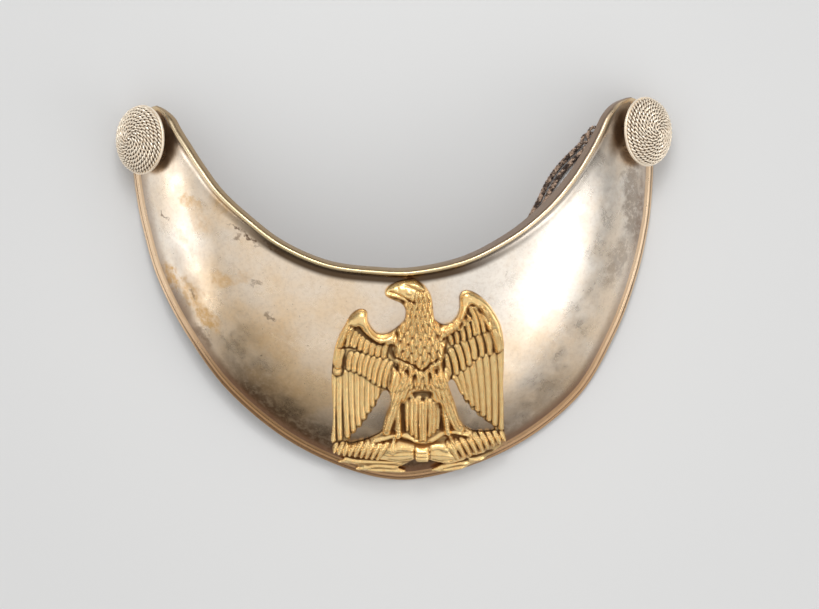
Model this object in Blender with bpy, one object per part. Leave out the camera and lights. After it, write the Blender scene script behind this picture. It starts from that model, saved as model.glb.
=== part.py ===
"""An officer's gorget: a crescent neck plate with a cast eagle badge, two rope-wound
buttons on riveted posts, and a braided hanging cord knotted on one post.

The gorget lies on its back on a surface. +X runs along the plate, +Y from the plate's
foot to its horns, and +Z up from the surface.
"""

import math

import bmesh
import bpy
import numpy as np
from mathutils import Vector
from mathutils.bvhtree import BVHTree
from mathutils.geometry import delaunay_2d_cdt

MM = 0.001
GAP = 0.3 * MM

# Plate
PLATE_HALF_WIDTH = 72.7 * MM
PLATE_DEPTH = 106.0 * MM
SIDE_RADIUS = 88.0 * MM
LENGTH_RADIUS = 115.0 * MM
DOME_PER_WIDTH = 0.035
WALL = 1.0 * MM
PLATE_STATIONS = 54
HORN_EASING = 0.06
SUPPORT_REACH = 0.55
HEM_WIDTH = 2.9 * MM
HEM_STEP = 0.4 * MM
ROLL_WIDTH = 3.4 * MM
ROLL_HEIGHT = 1.15 * MM
ROLL_RETURN = 1.9 * MM
FULL_EDGES_WIDTH = 14.0 * MM

# Buttons and their posts
BUTTON_RADIUS = 9.6 * MM
BUTTON_DOME = 5.2 * MM
BUTTON_RIM = 0.8 * MM
BUTTON_STAND = 2.2 * MM
BUTTON_TURNS = 9
BUTTON_SIDES = 18
ROPE_RELIEF = 0.35 * MM
BUTTON_EDGE = 0.3 * MM
POST_RADIUS = 1.9 * MM
POST_BEHIND = 4.2 * MM
POST_HEAD_RADIUS = 2.8 * MM
POST_HEAD = 0.8 * MM
POST_HEAD_EDGE = 0.3 * MM
POST_SIDES = 14
POST_CLEARANCE = 0.3 * MM
DRILL_REACH = 6 * MM

# Badge
BADGE_HEIGHT = 52.8 * MM
BADGE_AXIS_X = 7.3 * MM
BADGE_FOOT = 3.0 * MM
BADGE_BASE = 0.8 * MM
BADGE_RELIEF = 1.0 * MM
FEATHER_RISE = 0.55 * MM

# Cord
CORD_DIAMETER = 1.4 * MM
KNOT_RADIUS = 1.9 * MM
KNOT_HALF_LENGTH = 2.5 * MM
HITCH_TURNS = 1.2
HITCH_PITCH = 1.9 * MM
HITCH_START = 200
LEAD_POINTS = 24
BIGHT_POINTS = 34

# Sections of the plate from the left horn to the right horn. Each row gives the outer
# edge and the neck edge, x as a share of the half width, y as a share of the depth.
SECTION_COLUMNS = ("outer_x", "outer_y", "neck_x", "neck_y")
SECTIONS = (
    (-0.915, 0.975, -0.895, 0.978),
    (-0.953, 0.957, -0.869, 0.969),
    (-0.985, 0.907, -0.834, 0.947),
    (-0.999, 0.840, -0.804, 0.912),
    (-0.989, 0.759, -0.766, 0.872),
    (-0.957, 0.652, -0.714, 0.818),
    (-0.898, 0.522, -0.644, 0.754),
    (-0.786, 0.377, -0.541, 0.688),
    (-0.619, 0.225, -0.410, 0.620),
    (-0.370, 0.090, -0.238, 0.569),
    (-0.077, 0.008, -0.052, 0.552),
    (0.160, 0.009, 0.089, 0.552),
    (0.458, 0.084, 0.272, 0.580),
    (0.709, 0.216, 0.439, 0.639),
    (0.851, 0.379, 0.568, 0.709),
    (0.936, 0.532, 0.660, 0.782),
    (0.981, 0.665, 0.724, 0.849),
    (0.997, 0.774, 0.769, 0.906),
    (0.999, 0.856, 0.799, 0.950),
    (0.984, 0.923, 0.836, 0.981),
    (0.954, 0.973, 0.877, 0.996),
    (0.925, 0.995, 0.900, 1.000),
)

# The hem along the outer edge, from the edge inwards: distance as a share of the hem's
# width, height over the domed face as a share of its step. The underside adds the wall.
HEM_TOP = (
    (0.0, -2.1), (0.05, -1.1), (0.15, -0.6), (0.29, -1.0), (0.43, -0.1), (0.57, -0.9),
    (0.86, -0.75), (1.0, 0.0),
)
HEM_UNDER = ((1.0, 0.0), (0.83, -0.6), (0.1, -0.6))
# The roll along the neck edge, towards the edge: distance as a share of the roll's width,
# height as a share of its crest. The underside's heights are shares of the wall.
ROLL_TOP = (
    (1.0, 0.0), (0.68, 0.05), (0.47, 0.35), (0.32, 0.83), (0.22, 1.0), (0.10, 0.87),
    (0.03, 0.48), (0.0, -0.26),
)
ROLL_UNDER = ((0.26, -0.55), (0.44, -0.45), (0.70, -0.9))
RETURN_WALL = 0.8
FACE_STEPS = 6
UNDER_STEPS = 4

# Where each button stands on the plate: shares of the half width and of the depth.
BUTTON_PLACES = {"left": (-0.925, 0.889), "right": (0.934, 0.910)}

# The badge's outline, in hundredths of its height from the foot of its axis.
BADGE_OUTLINE = (
    (-3, 100.3), (-8, 99.5), (-12, 98.5), (-16, 96.5), (-17.6, 94.5), (-17.8, 92.5),
    (-16.5, 91), (-14, 89.8), (-10, 88.3), (-8, 86.5), (-7, 84), (-7.5, 79), (-9.5, 77),
    (-12.5, 74.5), (-16, 72.2), (-19, 71.5), (-22, 72), (-24.2, 74), (-26, 77), (-27, 80),
    (-26.6, 82.5), (-28, 84.3), (-31, 84.6), (-34, 83), (-36.5, 80), (-38.5, 76), (-41, 72),
    (-43, 67), (-44, 62), (-44.8, 57), (-45.3, 50), (-45, 42), (-44.6, 32), (-45, 24),
    (-46.3, 17), (-45.2, 14.5), (-45.3, 12), (-44, 10), (-40, 8.8), (-38.5, 7.2),
    (-43.5, 5.2), (-38, 4.3), (-33, 4.0), (-31.5, 2.9), (-34, 1.3), (-30, 0.6), (-24, 0.2),
    (-16, -0.2), (-7.5, -0.4), (-7, 0.6), (-12, 2.2), (-7.5, 4), (-4, 6), (-1.5, 7),
    (3.8, 7.2), (6, 6.3), (10, 5.4), (15.5, 5.1), (10, 3.2), (5.5, 0.8), (8, 0.1), (14, 0),
    (20, 0.5), (24, 1.9), (26, 3.5), (31, 5.3), (36, 8.5), (40, 11.5), (43.6, 14.5),
    (45, 17.5), (44.3, 20.3), (43.6, 26), (43.4, 36), (43, 46), (43.2, 56), (43.4, 62),
    (43, 68), (42.4, 73), (41, 78), (38.5, 83), (35, 88), (31, 91.5), (27, 93.8), (24, 94.3),
    (21.5, 93.3), (20.3, 91), (20.6, 87), (20.3, 83), (19, 80), (16.5, 77.5), (13, 76.3),
    (10, 77.5), (7.5, 79.5), (7, 83), (6.6, 88), (5.8, 92), (4, 95), (2, 97.5), (-1, 99.4),
)
BADGE_GAPS = (
    (
        (-19, 43), (-16.5, 43), (-15, 41), (-14.5, 38), (-15.4, 34), (-17.5, 30),
        (-18.8, 25), (-19.3, 21.5), (-21, 20), (-24, 18.5), (-28, 16.7), (-32, 15.5),
        (-36.5, 14.4), (-38, 15.7), (-37, 17.7), (-34, 20.5), (-31, 23), (-28, 27),
        (-26, 30), (-24, 32.5), (-22, 36), (-20.5, 39.5),
    ),
    (
        (14.3, 48.3), (17.3, 48.8), (19, 46), (20.5, 42), (22.5, 38), (25, 34), (28.5, 30),
        (32, 27), (36, 24.8), (39.5, 22.8), (39, 21.3), (34, 20.8), (28, 21), (24.5, 22.7),
        (22, 25.5), (20.4, 28), (19.4, 32), (18, 37), (16.5, 41), (15, 45),
    ),
)

# The badge's main masses: points of (x, y, radius, height), the first three in hundredths
# of its height and the last as a multiple of the relief.
BADGE_MASSES = (
    ((0, 72, 11, 2.2), (0, 64, 13, 2.9), (1, 54, 9, 2.2), (1, 46, 9, 1.9)),
    ((-1, 90, 6.5, 2.2), (0, 80, 7.5, 2.3), (0, 72, 11, 2.2)),
    ((-2, 94, 6.5, 2.7), (-9, 94, 4.6, 2.2), (-16, 93.3, 2.2, 1.6)),
    ((-14, 70, 3, 2.2), (-20, 70, 2.2, 1.9), (-24.5, 73, 2.2, 1.9), (-29.5, 81, 3.4, 1.7)),
    ((-29.5, 81, 3.4, 1.7), (-36, 77.5, 2.2, 1.6), (-42, 66, 1.8, 1.5), (-44, 60, 1.5, 1.3)),
    ((12, 73.5, 3, 2.2), (18, 77, 2.2, 1.9), (22, 84, 2, 1.8), (24, 91, 3, 1.8)),
    ((24, 91, 3, 1.8), (32, 88, 2.4, 1.7), (39, 78, 2.2, 1.7), (41.3, 66, 1.8, 1.5)),
    ((-8, 48, 7, 2.4), (-13, 37, 4.4, 2.3), (-16, 27, 3.2, 1.9), (-17, 22, 2.4, 1.6)),
    ((8, 48, 7, 2.4), (14, 37, 4.4, 2.3), (17.5, 28, 3.2, 1.9), (20.5, 23.5, 2.8, 1.6)),
    ((-10.6, 34, 2, 2.2), (-10.8, 20.5, 1.8, 2.2)),
    ((12.3, 34, 2, 2.2), (14.3, 22, 1.8, 2.2)),
    ((1.5, 40, 8, 1.5), (1.5, 24, 9, 1.2), (1.5, 18, 4, 1.1)),
    ((-10.8, 20.5, 1.8, 2.6), (-17, 18.3, 1.5, 2.4), (-24, 16.6, 1.2, 2.0)),
    ((-10.8, 20.5, 1.8, 2.6), (-13.4, 16.5, 1.4, 2.7), (-14, 12.5, 1.1, 2.6)),
    ((-10.8, 20.5, 1.8, 2.6), (-5, 18.3, 1.5, 2.4), (-1, 16, 1.2, 2.2)),
    ((14.3, 22, 1.8, 2.6), (20, 21.3, 1.5, 2.4), (26.5, 19.6, 1.2, 2.0)),
    ((14.3, 22, 1.8, 2.6), (16, 18, 1.4, 2.7), (18, 14, 1.1, 2.6)),
    ((14.3, 22, 1.8, 2.6), (9, 18.5, 1.5, 2.4), (5, 16.5, 1.2, 2.2)),
    ((-2, 10.8, 3.8, 2.0), (-12, 11.3, 5.6, 2.3), (-26, 12, 4.4, 2.0), (-44, 12, 2, 1.4)),
    ((4, 10.8, 3.8, 2.0), (14, 10.5, 5.6, 2.3), (28, 14.5, 5, 2.0), (43.5, 18.3, 2.2, 1.4)),
    ((-0.3, 10.5, 3.6, 2.7), (2.8, 10.5, 3.6, 2.7)),
)

# Rows of feathers and ribs: how many, the two ends of the line of their roots, the two
# ends of the line of their tips, and their half width. Lengths as in the outline.
FEATHER_COLUMNS = ("count", "root_a", "root_b", "tip_a", "tip_b", "half_width")
FEATHERS = (
    (3, (-37, 75.5), (-33, 74.5), (-40, 67), (-34.8, 66), 1.4),
    (7, (-32, 73), (-17, 67.5), (-33, 65.3), (-18, 60.8), 1.5),
    (4, (-42, 63), (-33, 61.5), (-42.3, 53), (-32.5, 52.8), 1.6),
    (6, (-31, 61), (-14.5, 59), (-29.5, 51.2), (-15.8, 44.6), 1.5),
    (5, (-43.5, 52), (-34, 51.5), (-44.8, 16), (-33, 23), 1.5),
    (4, (-31.5, 50), (-22, 45.5), (-30.3, 26), (-22, 38), 1.5),
    (4, (28, 86), (25, 82), (33, 73.5), (27.3, 70.5), 1.5),
    (3, (36.5, 77), (32.5, 74), (40, 66), (35.8, 61.3), 1.5),
    (4, (24, 78), (15, 72.5), (24, 69), (16, 66.5), 1.4),
    (7, (31.5, 71), (14, 66), (34, 61.5), (14.5, 50.5), 1.4),
    (4, (41.5, 60), (33, 59.5), (42, 22.5), (34, 27.5), 1.4),
    (4, (31, 57), (21, 51), (31.5, 29.5), (21.5, 41.5), 1.4),
    (7, (-7, 36.5), (10, 36.5), (-6.5, 22), (10, 22), 1.1),
    (5, (-4.5, 88), (5, 88), (-5, 80), (5.5, 80), 1.0),
    (6, (-8, 74), (8, 74), (-9.5, 69), (9.5, 69), 1.5),
    (6, (-10, 67), (10, 67), (-10, 62.5), (10, 62.5), 1.6),
    (4, (-5, 58), (7, 58), (-5, 53), (6.5, 53), 1.5),
    (4, (-8, 49), (-13, 40), (-11.5, 43), (-16, 34), 1.2),
    (4, (8, 49), (14, 40), (11.5, 43), (17, 34), 1.2),
    (8, (-37, 14), (-14, 14.5), (-40.5, 10.5), (-19, 8.5), 1.1),
    (8, (40, 20), (14, 14.5), (42.5, 16.5), (20, 9), 1.1),
    (4, (-1.2, 13.2), (-1.2, 8), (3.7, 13.2), (3.7, 8), 0.55),
    (2, (-36, 5.8), (-30, 1.8), (-16, 5), (-14, 1.2), 0.9),
    (2, (20, 4.2), (32, 7), (10, 1.6), (13, 6.7), 0.9),
)
OUTLINE_STEP = 2.6
OUTLINE_BOW = 0.02
MASS_STEP = 2.4
FEATHER_STEP = 2.1
POINT_SPACING = 1.1
UNDER_SPACING = 4.0

# The hanging cord's route, in mm from the origin: from its turn round the right post to
# the knot, and from the knot along the neck edge, round its bight and back to the knot.
CORD_LEAD = (
    (62.3, 46.6, 5.2), (60.3, 46.3, 3.5), (58.7, 45.6, 2.3), (56.9, 44.3, 1.9),
)
CORD_BIGHT = (
    (52.2, 40.6, 1.6), (50.7, 39.0, 0.95), (47.9, 36.3, 0.72), (44.9, 32.9, 0.72),
    (42.3, 28.9, 0.72), (40.3, 24.7, 0.72), (38.3, 20.9, 0.72), (36.7, 17.6, 0.72),
    (36.4, 14.5, 0.72), (38.5, 12.2, 0.72), (41.3, 13.1, 0.72), (41.9, 15.9, 0.72),
    (40.7, 18.4, 0.72), (40.1, 20.7, 0.72), (41.8, 24.1, 0.72), (43.8, 28.1, 0.72),
    (46.2, 31.8, 0.72), (49.2, 35.2, 0.72), (52.0, 37.8, 0.95), (53.4, 39.4, 1.6),
)
KNOT_PLACE = (54.7, 42.1, 1.65)
KNOT_HEADING = (0.68, 0.73, 0.0)


def material(name, color, roughness, metallic):
    made = bpy.data.materials.new(name)
    made.use_nodes = True
    shader = made.node_tree.nodes["Principled BSDF"]
    shader.inputs["Base Color"].default_value = (*color, 1)
    shader.inputs["Roughness"].default_value = roughness
    shader.inputs["Metallic"].default_value = metallic
    return made


def add_object(name, data, parent, made_of):
    piece = bpy.data.objects.new(name, data)
    piece.parent = parent
    data.materials.append(made_of)
    bpy.context.scene.collection.objects.link(piece)
    return piece


def mesh_from(name, points, faces, smooth_angle=40):
    mesh = bpy.data.meshes.new(name)
    mesh.from_pydata([tuple(map(float, p)) for p in points], [], faces)
    shell = bmesh.new()
    shell.from_mesh(mesh)
    bmesh.ops.recalc_face_normals(shell, faces=shell.faces)
    shell.to_mesh(mesh)
    shell.free()
    mesh.shade_smooth()
    mesh.set_sharp_from_angle(angle=math.radians(smooth_angle))
    return mesh


def smooth_through(points, count):
    """Points at even spacing along a smooth curve through the given points."""
    points = np.array(points, float)
    ends = np.vstack([2 * points[0] - points[1], points, 2 * points[-1] - points[-2]])
    curve = []
    for a, b, c, d in zip(ends, ends[1:], ends[2:], ends[3:]):
        for t in np.arange(0, 1, 1 / 16):
            curve.append(
                0.5 * (2 * b + (c - a) * t + (2 * a - 5 * b + 4 * c - d) * t**2
                       + (3 * b - a - 3 * c + d) * t**3)
            )
    curve = np.array(curve + [points[-1]])
    along = np.r_[0, np.cumsum(np.linalg.norm(np.diff(curve, axis=0), axis=1))]
    at = np.linspace(0, along[-1], count)
    return np.stack([np.interp(at, along, curve[:, i]) for i in range(curve.shape[1])], 1)


# The body's form, and how the plate lies on it


def body_form(x, y):
    """Height of the wearer's form under the plate, before it lies on the surface."""
    across = np.sqrt(np.maximum(SIDE_RADIUS**2 - x**2, (0.2 * SIDE_RADIUS) ** 2))
    return across - SIDE_RADIUS - (y - FORM_MIDDLE) ** 2 / (2 * LENGTH_RADIUS)


def plan_sections():
    """Outer and neck edges in plan at every station, in metres."""
    sizes = {"x": PLATE_HALF_WIDTH, "y": PLATE_DEPTH}
    rows = np.array(SECTIONS) * [sizes[column[-1]] for column in SECTION_COLUMNS]
    dense = smooth_through(rows, 4 * PLATE_STATIONS)
    share = np.linspace(0, 1, PLATE_STATIONS)
    eased = share - HORN_EASING * np.sin(2 * math.pi * share)
    at = eased * (len(dense) - 1)
    return np.stack([np.interp(at, range(len(dense)), dense[:, i]) for i in range(4)], 1)


def lying_plane(edge):
    """The plane that the outer edge touches at both sides and at the foot."""
    plane = np.zeros(3)
    x, y = edge[:, 0], edge[:, 1]
    left = x < -SUPPORT_REACH * PLATE_HALF_WIDTH
    right = x > SUPPORT_REACH * PLATE_HALF_WIDTH
    foot = (np.abs(x) < 0.3 * PLATE_HALF_WIDTH) & (y < 0.3 * PLATE_DEPTH)
    for _ in range(12):
        height = body_form(x, y) + plane @ (x, y, np.ones(len(x)))
        lowest = [np.flatnonzero(m)[np.argmin(height[m])] for m in (left, right, foot)]
        rows = np.array([(x[i], y[i], 1) for i in lowest])
        plane = plane + np.linalg.solve(rows, -height[lowest])
    return plane


FORM_MIDDLE = 0.415 * PLATE_DEPTH
PLAN = plan_sections()
PLANE = lying_plane(PLAN[:, :2])


def lying_form(x, y):
    return body_form(x, y) + PLANE[0] * x + PLANE[1] * y + PLANE[2]


def form_normal(x, y):
    step = 0.5 * MM
    slope_x = (lying_form(x + step, y) - lying_form(x - step, y)) / (2 * step)
    slope_y = (lying_form(x, y + step) - lying_form(x, y - step)) / (2 * step)
    return Vector((-slope_x, -slope_y, 1)).normalized()


def face_point(station, share):
    """A point of the domed face, share 0 at the outer edge and 1 at the neck edge."""
    outer, neck = PLAN[station, :2], PLAN[station, 2:]
    x, y = outer + (neck - outer) * share
    dome = DOME_PER_WIDTH * np.linalg.norm(neck - outer) * (1 - (2 * share - 1) ** 2)
    return Vector((x, y, lying_form(x, y))) + form_normal(x, y) * dome


def face_surface():
    """The domed face alone, for what lies on it."""
    shares = np.linspace(0, 1, 13)
    points = [face_point(i, s) for i in range(PLATE_STATIONS) for s in shares]
    n = len(shares)
    faces = [
        (i * n + j, (i + 1) * n + j, (i + 1) * n + j + 1, i * n + j + 1)
        for i in range(PLATE_STATIONS - 1)
        for j in range(n - 1)
    ]
    return BVHTree.FromPolygons(points, faces)


def on_face(surface, x, y):
    hit = surface.ray_cast(Vector((x, y, 1)), Vector((0, 0, -1)))
    if hit[0] is None:
        hit = (surface.find_nearest(Vector((x, y, lying_form(x, y))))[0],)
    return Vector((x, y, hit[0].z))


def plate_profile(width):
    """The closed cross-section as pairs of share across the plate and height."""
    fit = min(1, width / FULL_EDGES_WIDTH)
    hem, roll = fit * HEM_WIDTH / width, fit * ROLL_WIDTH / width
    thin = WALL * max(fit, 0.6)
    top = [(d * hem, h * HEM_STEP * fit) for d, h in HEM_TOP]
    top += [(s, 0.0) for s in np.linspace(hem, 1 - roll, FACE_STEPS + 2)[1:-1]]
    top += [(1 - d * roll, h * ROLL_HEIGHT * fit) for d, h in ROLL_TOP]
    lip = fit * RETURN_WALL * WALL / width
    under = [(1, -ROLL_RETURN * fit), (1 - lip, -ROLL_RETURN * fit)]
    under += [(1 - d * roll, h * WALL * fit) for d, h in ROLL_UNDER]
    steps = np.linspace(1 - ROLL_UNDER[-1][0] * roll, hem, UNDER_STEPS + 2)[1:-1]
    under += [(s, -thin) for s in steps]
    under += [(d * hem, -thin + h * HEM_STEP * fit) for d, h in HEM_UNDER]
    return top + under


def make_plate(parent, made_of):
    points, faces = [], []
    for station in range(PLATE_STATIONS):
        width = np.linalg.norm(PLAN[station, 2:] - PLAN[station, :2])
        profile = plate_profile(width)
        for share, height in profile:
            base = face_point(station, share)
            points.append(base + form_normal(base.x, base.y) * height)
    n = len(profile)
    for i in range(PLATE_STATIONS - 1):
        for j in range(n):
            k = (j + 1) % n
            faces.append((i * n + j, i * n + k, (i + 1) * n + k, (i + 1) * n + j))
    faces.append(tuple(range(n)))
    faces.append(tuple(range((PLATE_STATIONS - 1) * n, PLATE_STATIONS * n))[::-1])
    return add_object("plate", mesh_from("plate", points, faces), parent, made_of)


# Turned pieces


def turned(name, profile, sides):
    """A closed solid from a profile of (radius, height) that starts and ends on the axis."""
    points = [(0, 0, profile[0][1])]
    for radius, height in profile[1:-1]:
        for k in range(sides):
            turn = 2 * math.pi * k / sides
            points.append((radius * math.cos(turn), radius * math.sin(turn), height))
    points.append((0, 0, profile[-1][1]))
    faces, rings, last = [], len(profile) - 2, len(points) - 1
    for k in range(sides):
        m = (k + 1) % sides
        faces.append((0, 1 + m, 1 + k))
        for ring in range(rings - 1):
            a, b = 1 + ring * sides, 1 + (ring + 1) * sides
            faces.append((a + k, a + m, b + m, b + k))
        faces.append((1 + (rings - 1) * sides + k, 1 + (rings - 1) * sides + m, last))
    return mesh_from(name, points, faces)


def button_profile():
    profile = [(0, 0), (BUTTON_RADIUS - BUTTON_EDGE, 0), (BUTTON_RADIUS, BUTTON_EDGE)]
    profile.append((BUTTON_RADIUS, BUTTON_RIM))
    inner = BUTTON_RADIUS - BUTTON_EDGE
    for k in range(2 * BUTTON_TURNS):
        turn = math.pi / 2 * (k + 0.5) / (2 * BUTTON_TURNS)
        proud = ROPE_RELIEF if k % 2 else 0
        profile.append((
            (inner - ROPE_RELIEF + proud) * math.cos(turn),
            BUTTON_RIM + (BUTTON_DOME - BUTTON_RIM - ROPE_RELIEF + proud) * math.sin(turn),
        ))
    return profile + [(0, BUTTON_DOME)]


def post_profile():
    top = BUTTON_STAND - GAP
    shank = -WALL - POST_BEHIND
    head = shank - POST_HEAD
    return [
        (0, head), (POST_HEAD_RADIUS - POST_HEAD_EDGE, head),
        (POST_HEAD_RADIUS, head + POST_HEAD_EDGE), (POST_HEAD_RADIUS, shank),
        (POST_RADIUS, shank), (POST_RADIUS, top), (0, top),
    ]


def button_frame(surface, side):
    """The button's axis: its foot on the plate and the direction that it points."""
    share_x, share_y = BUTTON_PLACES[side]
    x, y = share_x * PLATE_HALF_WIDTH, share_y * PLATE_DEPTH
    reach = 4 * MM
    foot = on_face(surface, x, y)
    inward = -math.copysign(reach, x)
    along_x = on_face(surface, x + inward, y) - foot
    along_y = on_face(surface, x, y - reach) - foot
    normal = along_x.cross(along_y).normalized()
    if normal.z < 0:
        normal.negate()
    return foot, normal


def make_button(side, foot, normal, parent, made_of):
    mesh = turned(f"{side}_button", button_profile(), BUTTON_SIDES)
    button = add_object(f"{side}_button", mesh, parent, made_of)
    button.location = foot + normal * BUTTON_STAND
    button.rotation_euler = normal.to_track_quat("Z", "Y").to_euler()


def make_post(side, foot, normal, parent, made_of):
    post = add_object(
        f"{side}_post", turned(f"{side}_post", post_profile(), POST_SIDES), parent, made_of
    )
    post.location = foot
    post.rotation_euler = normal.to_track_quat("Z", "Y").to_euler()


def drill_plate(plate, side, foot, normal, parent):
    """The post's hole through the plate."""
    radius = POST_RADIUS + POST_CLEARANCE
    profile = [(0, -DRILL_REACH), (radius, -DRILL_REACH), (radius, DRILL_REACH), (0, DRILL_REACH)]
    drill = bpy.data.objects.new(f"{side}_drill", turned(f"{side}_drill", profile, POST_SIDES))
    drill.parent = parent
    drill.location = foot
    drill.rotation_euler = normal.to_track_quat("Z", "Y").to_euler()
    drill.hide_render = True
    drill.display_type = "WIRE"
    bpy.context.scene.collection.objects.link(drill)
    cut = plate.modifiers.new(f"{side}_post_hole", "BOOLEAN")
    cut.object = drill


# The badge


def lerp(a, b, t):
    return tuple(p + (q - p) * t for p, q in zip(a, b))


def feather_strokes():
    """Every feather and rib as (root, tip, half width)."""
    strokes = []
    for values in FEATHERS:
        row = dict(zip(FEATHER_COLUMNS, values))
        for k in range(row["count"]):
            t = k / (row["count"] - 1)
            root = lerp(row["root_a"], row["root_b"], t)
            tip = lerp(row["tip_a"], row["tip_b"], t)
            strokes.append((root, tip, row["half_width"]))
    return strokes


def along_stroke(x, y, ax, ay, bx, by):
    """Share along a straight stroke and distance from it."""
    dx, dy = bx - ax, by - ay
    t = min(1.0, max(0.0, ((x - ax) * dx + (y - ay) * dy) / (dx * dx + dy * dy)))
    return t, math.hypot(x - ax - t * dx, y - ay - t * dy)


def badge_height(x, y, strokes):
    """Height of the relief over the plate, for a place in hundredths of its height."""
    mass = 0.0
    for chain in BADGE_MASSES:
        for a, b in zip(chain, chain[1:]):
            t, away = along_stroke(x, y, a[0], a[1], b[0], b[1])
            radius, height = a[2] + (b[2] - a[2]) * t, a[3] + (b[3] - a[3]) * t
            if away < radius:
                mass = max(mass, height * math.sqrt(1 - 0.9 * (away / radius) ** 2))
    rise = 0.0
    for root, tip, half_width in strokes:
        t, away = along_stroke(x, y, *root, *tip)
        if away < half_width:
            crown = math.sqrt(1 - (away / half_width) ** 2)
            rise = max(rise, crown * (0.45 + 0.55 * t))
    return max(BADGE_BASE, mass * BADGE_RELIEF) + rise * FEATHER_RISE


def densified(loop, step):
    """The closed loop with no stretch longer than the step, each one bowed a little."""
    points = []
    for a, b in zip(loop, loop[1:] + loop[:1]):
        pieces = max(1, round(math.dist(a, b) / step))
        for k in range(pieces):
            x, y = lerp(a, b, k / pieces)
            bow = OUTLINE_BOW * math.sin(math.pi * k / pieces)
            points.append((x - bow * (b[1] - a[1]), y + bow * (b[0] - a[0])))
    return points


def inside(loop, x, y):
    crossings = False
    for (ax, ay), (bx, by) in zip(loop, loop[1:] + loop[:1]):
        if (ay > y) != (by > y) and x < ax + (y - ay) / (by - ay) * (bx - ax):
            crossings = not crossings
    return crossings


def in_badge(loops, x, y):
    return inside(loops[0], x, y) and not any(inside(gap, x, y) for gap in loops[1:])


def badge_places(loops, strokes, spacing):
    """Places inside the outline: along masses and feathers, no two closer than the spacing."""
    wanted = []
    for root, tip, half_width in strokes:
        length = math.dist(root, tip)
        side = ((tip[1] - root[1]) / length * half_width, (root[0] - tip[0]) / length * half_width)
        count = max(2, round(length / FEATHER_STEP))
        for k in range(count + 1):
            x, y = lerp(root, tip, k / count)
            wanted += [(x, y), (x + side[0], y + side[1]), (x - side[0], y - side[1])]
    for chain in BADGE_MASSES:
        for a, b in zip(chain, chain[1:]):
            count = max(1, round(math.dist(a[:2], b[:2]) / MASS_STEP))
            for k in range(count + 1):
                x, y, radius, _ = lerp(a, b, k / count)
                for ring in (0, 0.5, 0.95):
                    for turn in range(6 if ring else 1):
                        angle = math.pi / 3 * turn
                        wanted.append((
                            x + ring * radius * math.cos(angle),
                            y + ring * radius * math.sin(angle),
                        ))
    kept = [p for loop in loops for p in loop]
    near = np.array([lerp(a, b, 0.5) for loop in loops for a, b in zip(loop, loop[1:] + loop[:1])])
    near = np.vstack([near, kept])
    for x, y in wanted:
        away = np.hypot(near[:, 0] - x, near[:, 1] - y).min()
        if away > spacing and in_badge(loops, x, y):
            kept.append((x, y))
            near = np.vstack([near, (x, y)])
    return kept


def triangulated(loops, places):
    """Triangles between the places, inside the outline and outside the gaps."""
    edges, start = [], 0
    for loop in loops:
        edges += [(start + k, start + (k + 1) % len(loop)) for k in range(len(loop))]
        start += len(loop)
    result = delaunay_2d_cdt([Vector(p) for p in places], edges, [], 0, 1e-6)
    corners, triangles = result[0], result[2]
    kept = []
    for triangle in triangles:
        x, y = np.mean([corners[i] for i in triangle], axis=0)
        if in_badge(loops, x, y):
            kept.append(tuple(triangle))
    return [tuple(c) for c in corners], kept


def make_badge(surface, parent, made_of):
    unit = BADGE_HEIGHT / 100
    loops = [densified(loop, OUTLINE_STEP) for loop in (BADGE_OUTLINE, *BADGE_GAPS)]
    strokes = feather_strokes()

    def placed(x, y, lift):
        plan_x, plan_y = BADGE_AXIS_X + x * unit, BADGE_FOOT + y * unit
        base = on_face(surface, plan_x, plan_y)
        return base + form_normal(plan_x, plan_y) * (GAP + lift)

    tops, top_faces = triangulated(loops, badge_places(loops, strokes, POINT_SPACING))
    unders, under_faces = triangulated(loops, badge_places(loops, strokes, UNDER_SPACING))
    points = [placed(x, y, badge_height(x, y, strokes)) for x, y in tops]
    shift = len(points)
    points += [placed(x, y, 0) for x, y in unders]
    faces = [tuple(t) for t in top_faces]
    faces += [tuple(i + shift for i in reversed(t)) for t in under_faces]
    start = 0
    for loop in loops:
        for k in range(len(loop)):
            a, b = start + k, start + (k + 1) % len(loop)
            faces.append((a, b, b + shift, a + shift))
        start += len(loop)
    mesh = mesh_from("eagle_badge", points, faces, 60)
    return add_object("eagle_badge", mesh, parent, made_of)


# The cord


def cord_tube(name, points, parent, made_of):
    curve = bpy.data.curves.new(name, "CURVE")
    curve.dimensions = "3D"
    curve.bevel_depth = CORD_DIAMETER / 2
    curve.bevel_resolution = 2
    curve.use_fill_caps = True
    spline = curve.splines.new("POLY")
    spline.points.add(len(points) - 1)
    for slot, point in zip(spline.points, points):
        slot.co = (*point, 1)
    return add_object(name, curve, parent, made_of)


def make_knot(parent, made_of):
    mesh = bpy.data.meshes.new("cord_knot")
    ball = bmesh.new()
    bmesh.ops.create_icosphere(ball, subdivisions=2, radius=KNOT_RADIUS)
    stretch = KNOT_HALF_LENGTH / KNOT_RADIUS
    for vert in ball.verts:
        ripple = 1 + 0.08 * math.sin(3 * math.atan2(vert.co.y, vert.co.x) + 900 * vert.co.z)
        vert.co = Vector((vert.co.x * stretch, vert.co.y, vert.co.z * 0.9)) * ripple
    ball.to_mesh(mesh)
    ball.free()
    mesh.shade_smooth()
    knot = add_object("cord_knot", mesh, parent, made_of)
    knot.location = Vector(KNOT_PLACE) * MM
    knot.rotation_euler = Vector(KNOT_HEADING).to_track_quat("X", "Z").to_euler()


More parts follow.
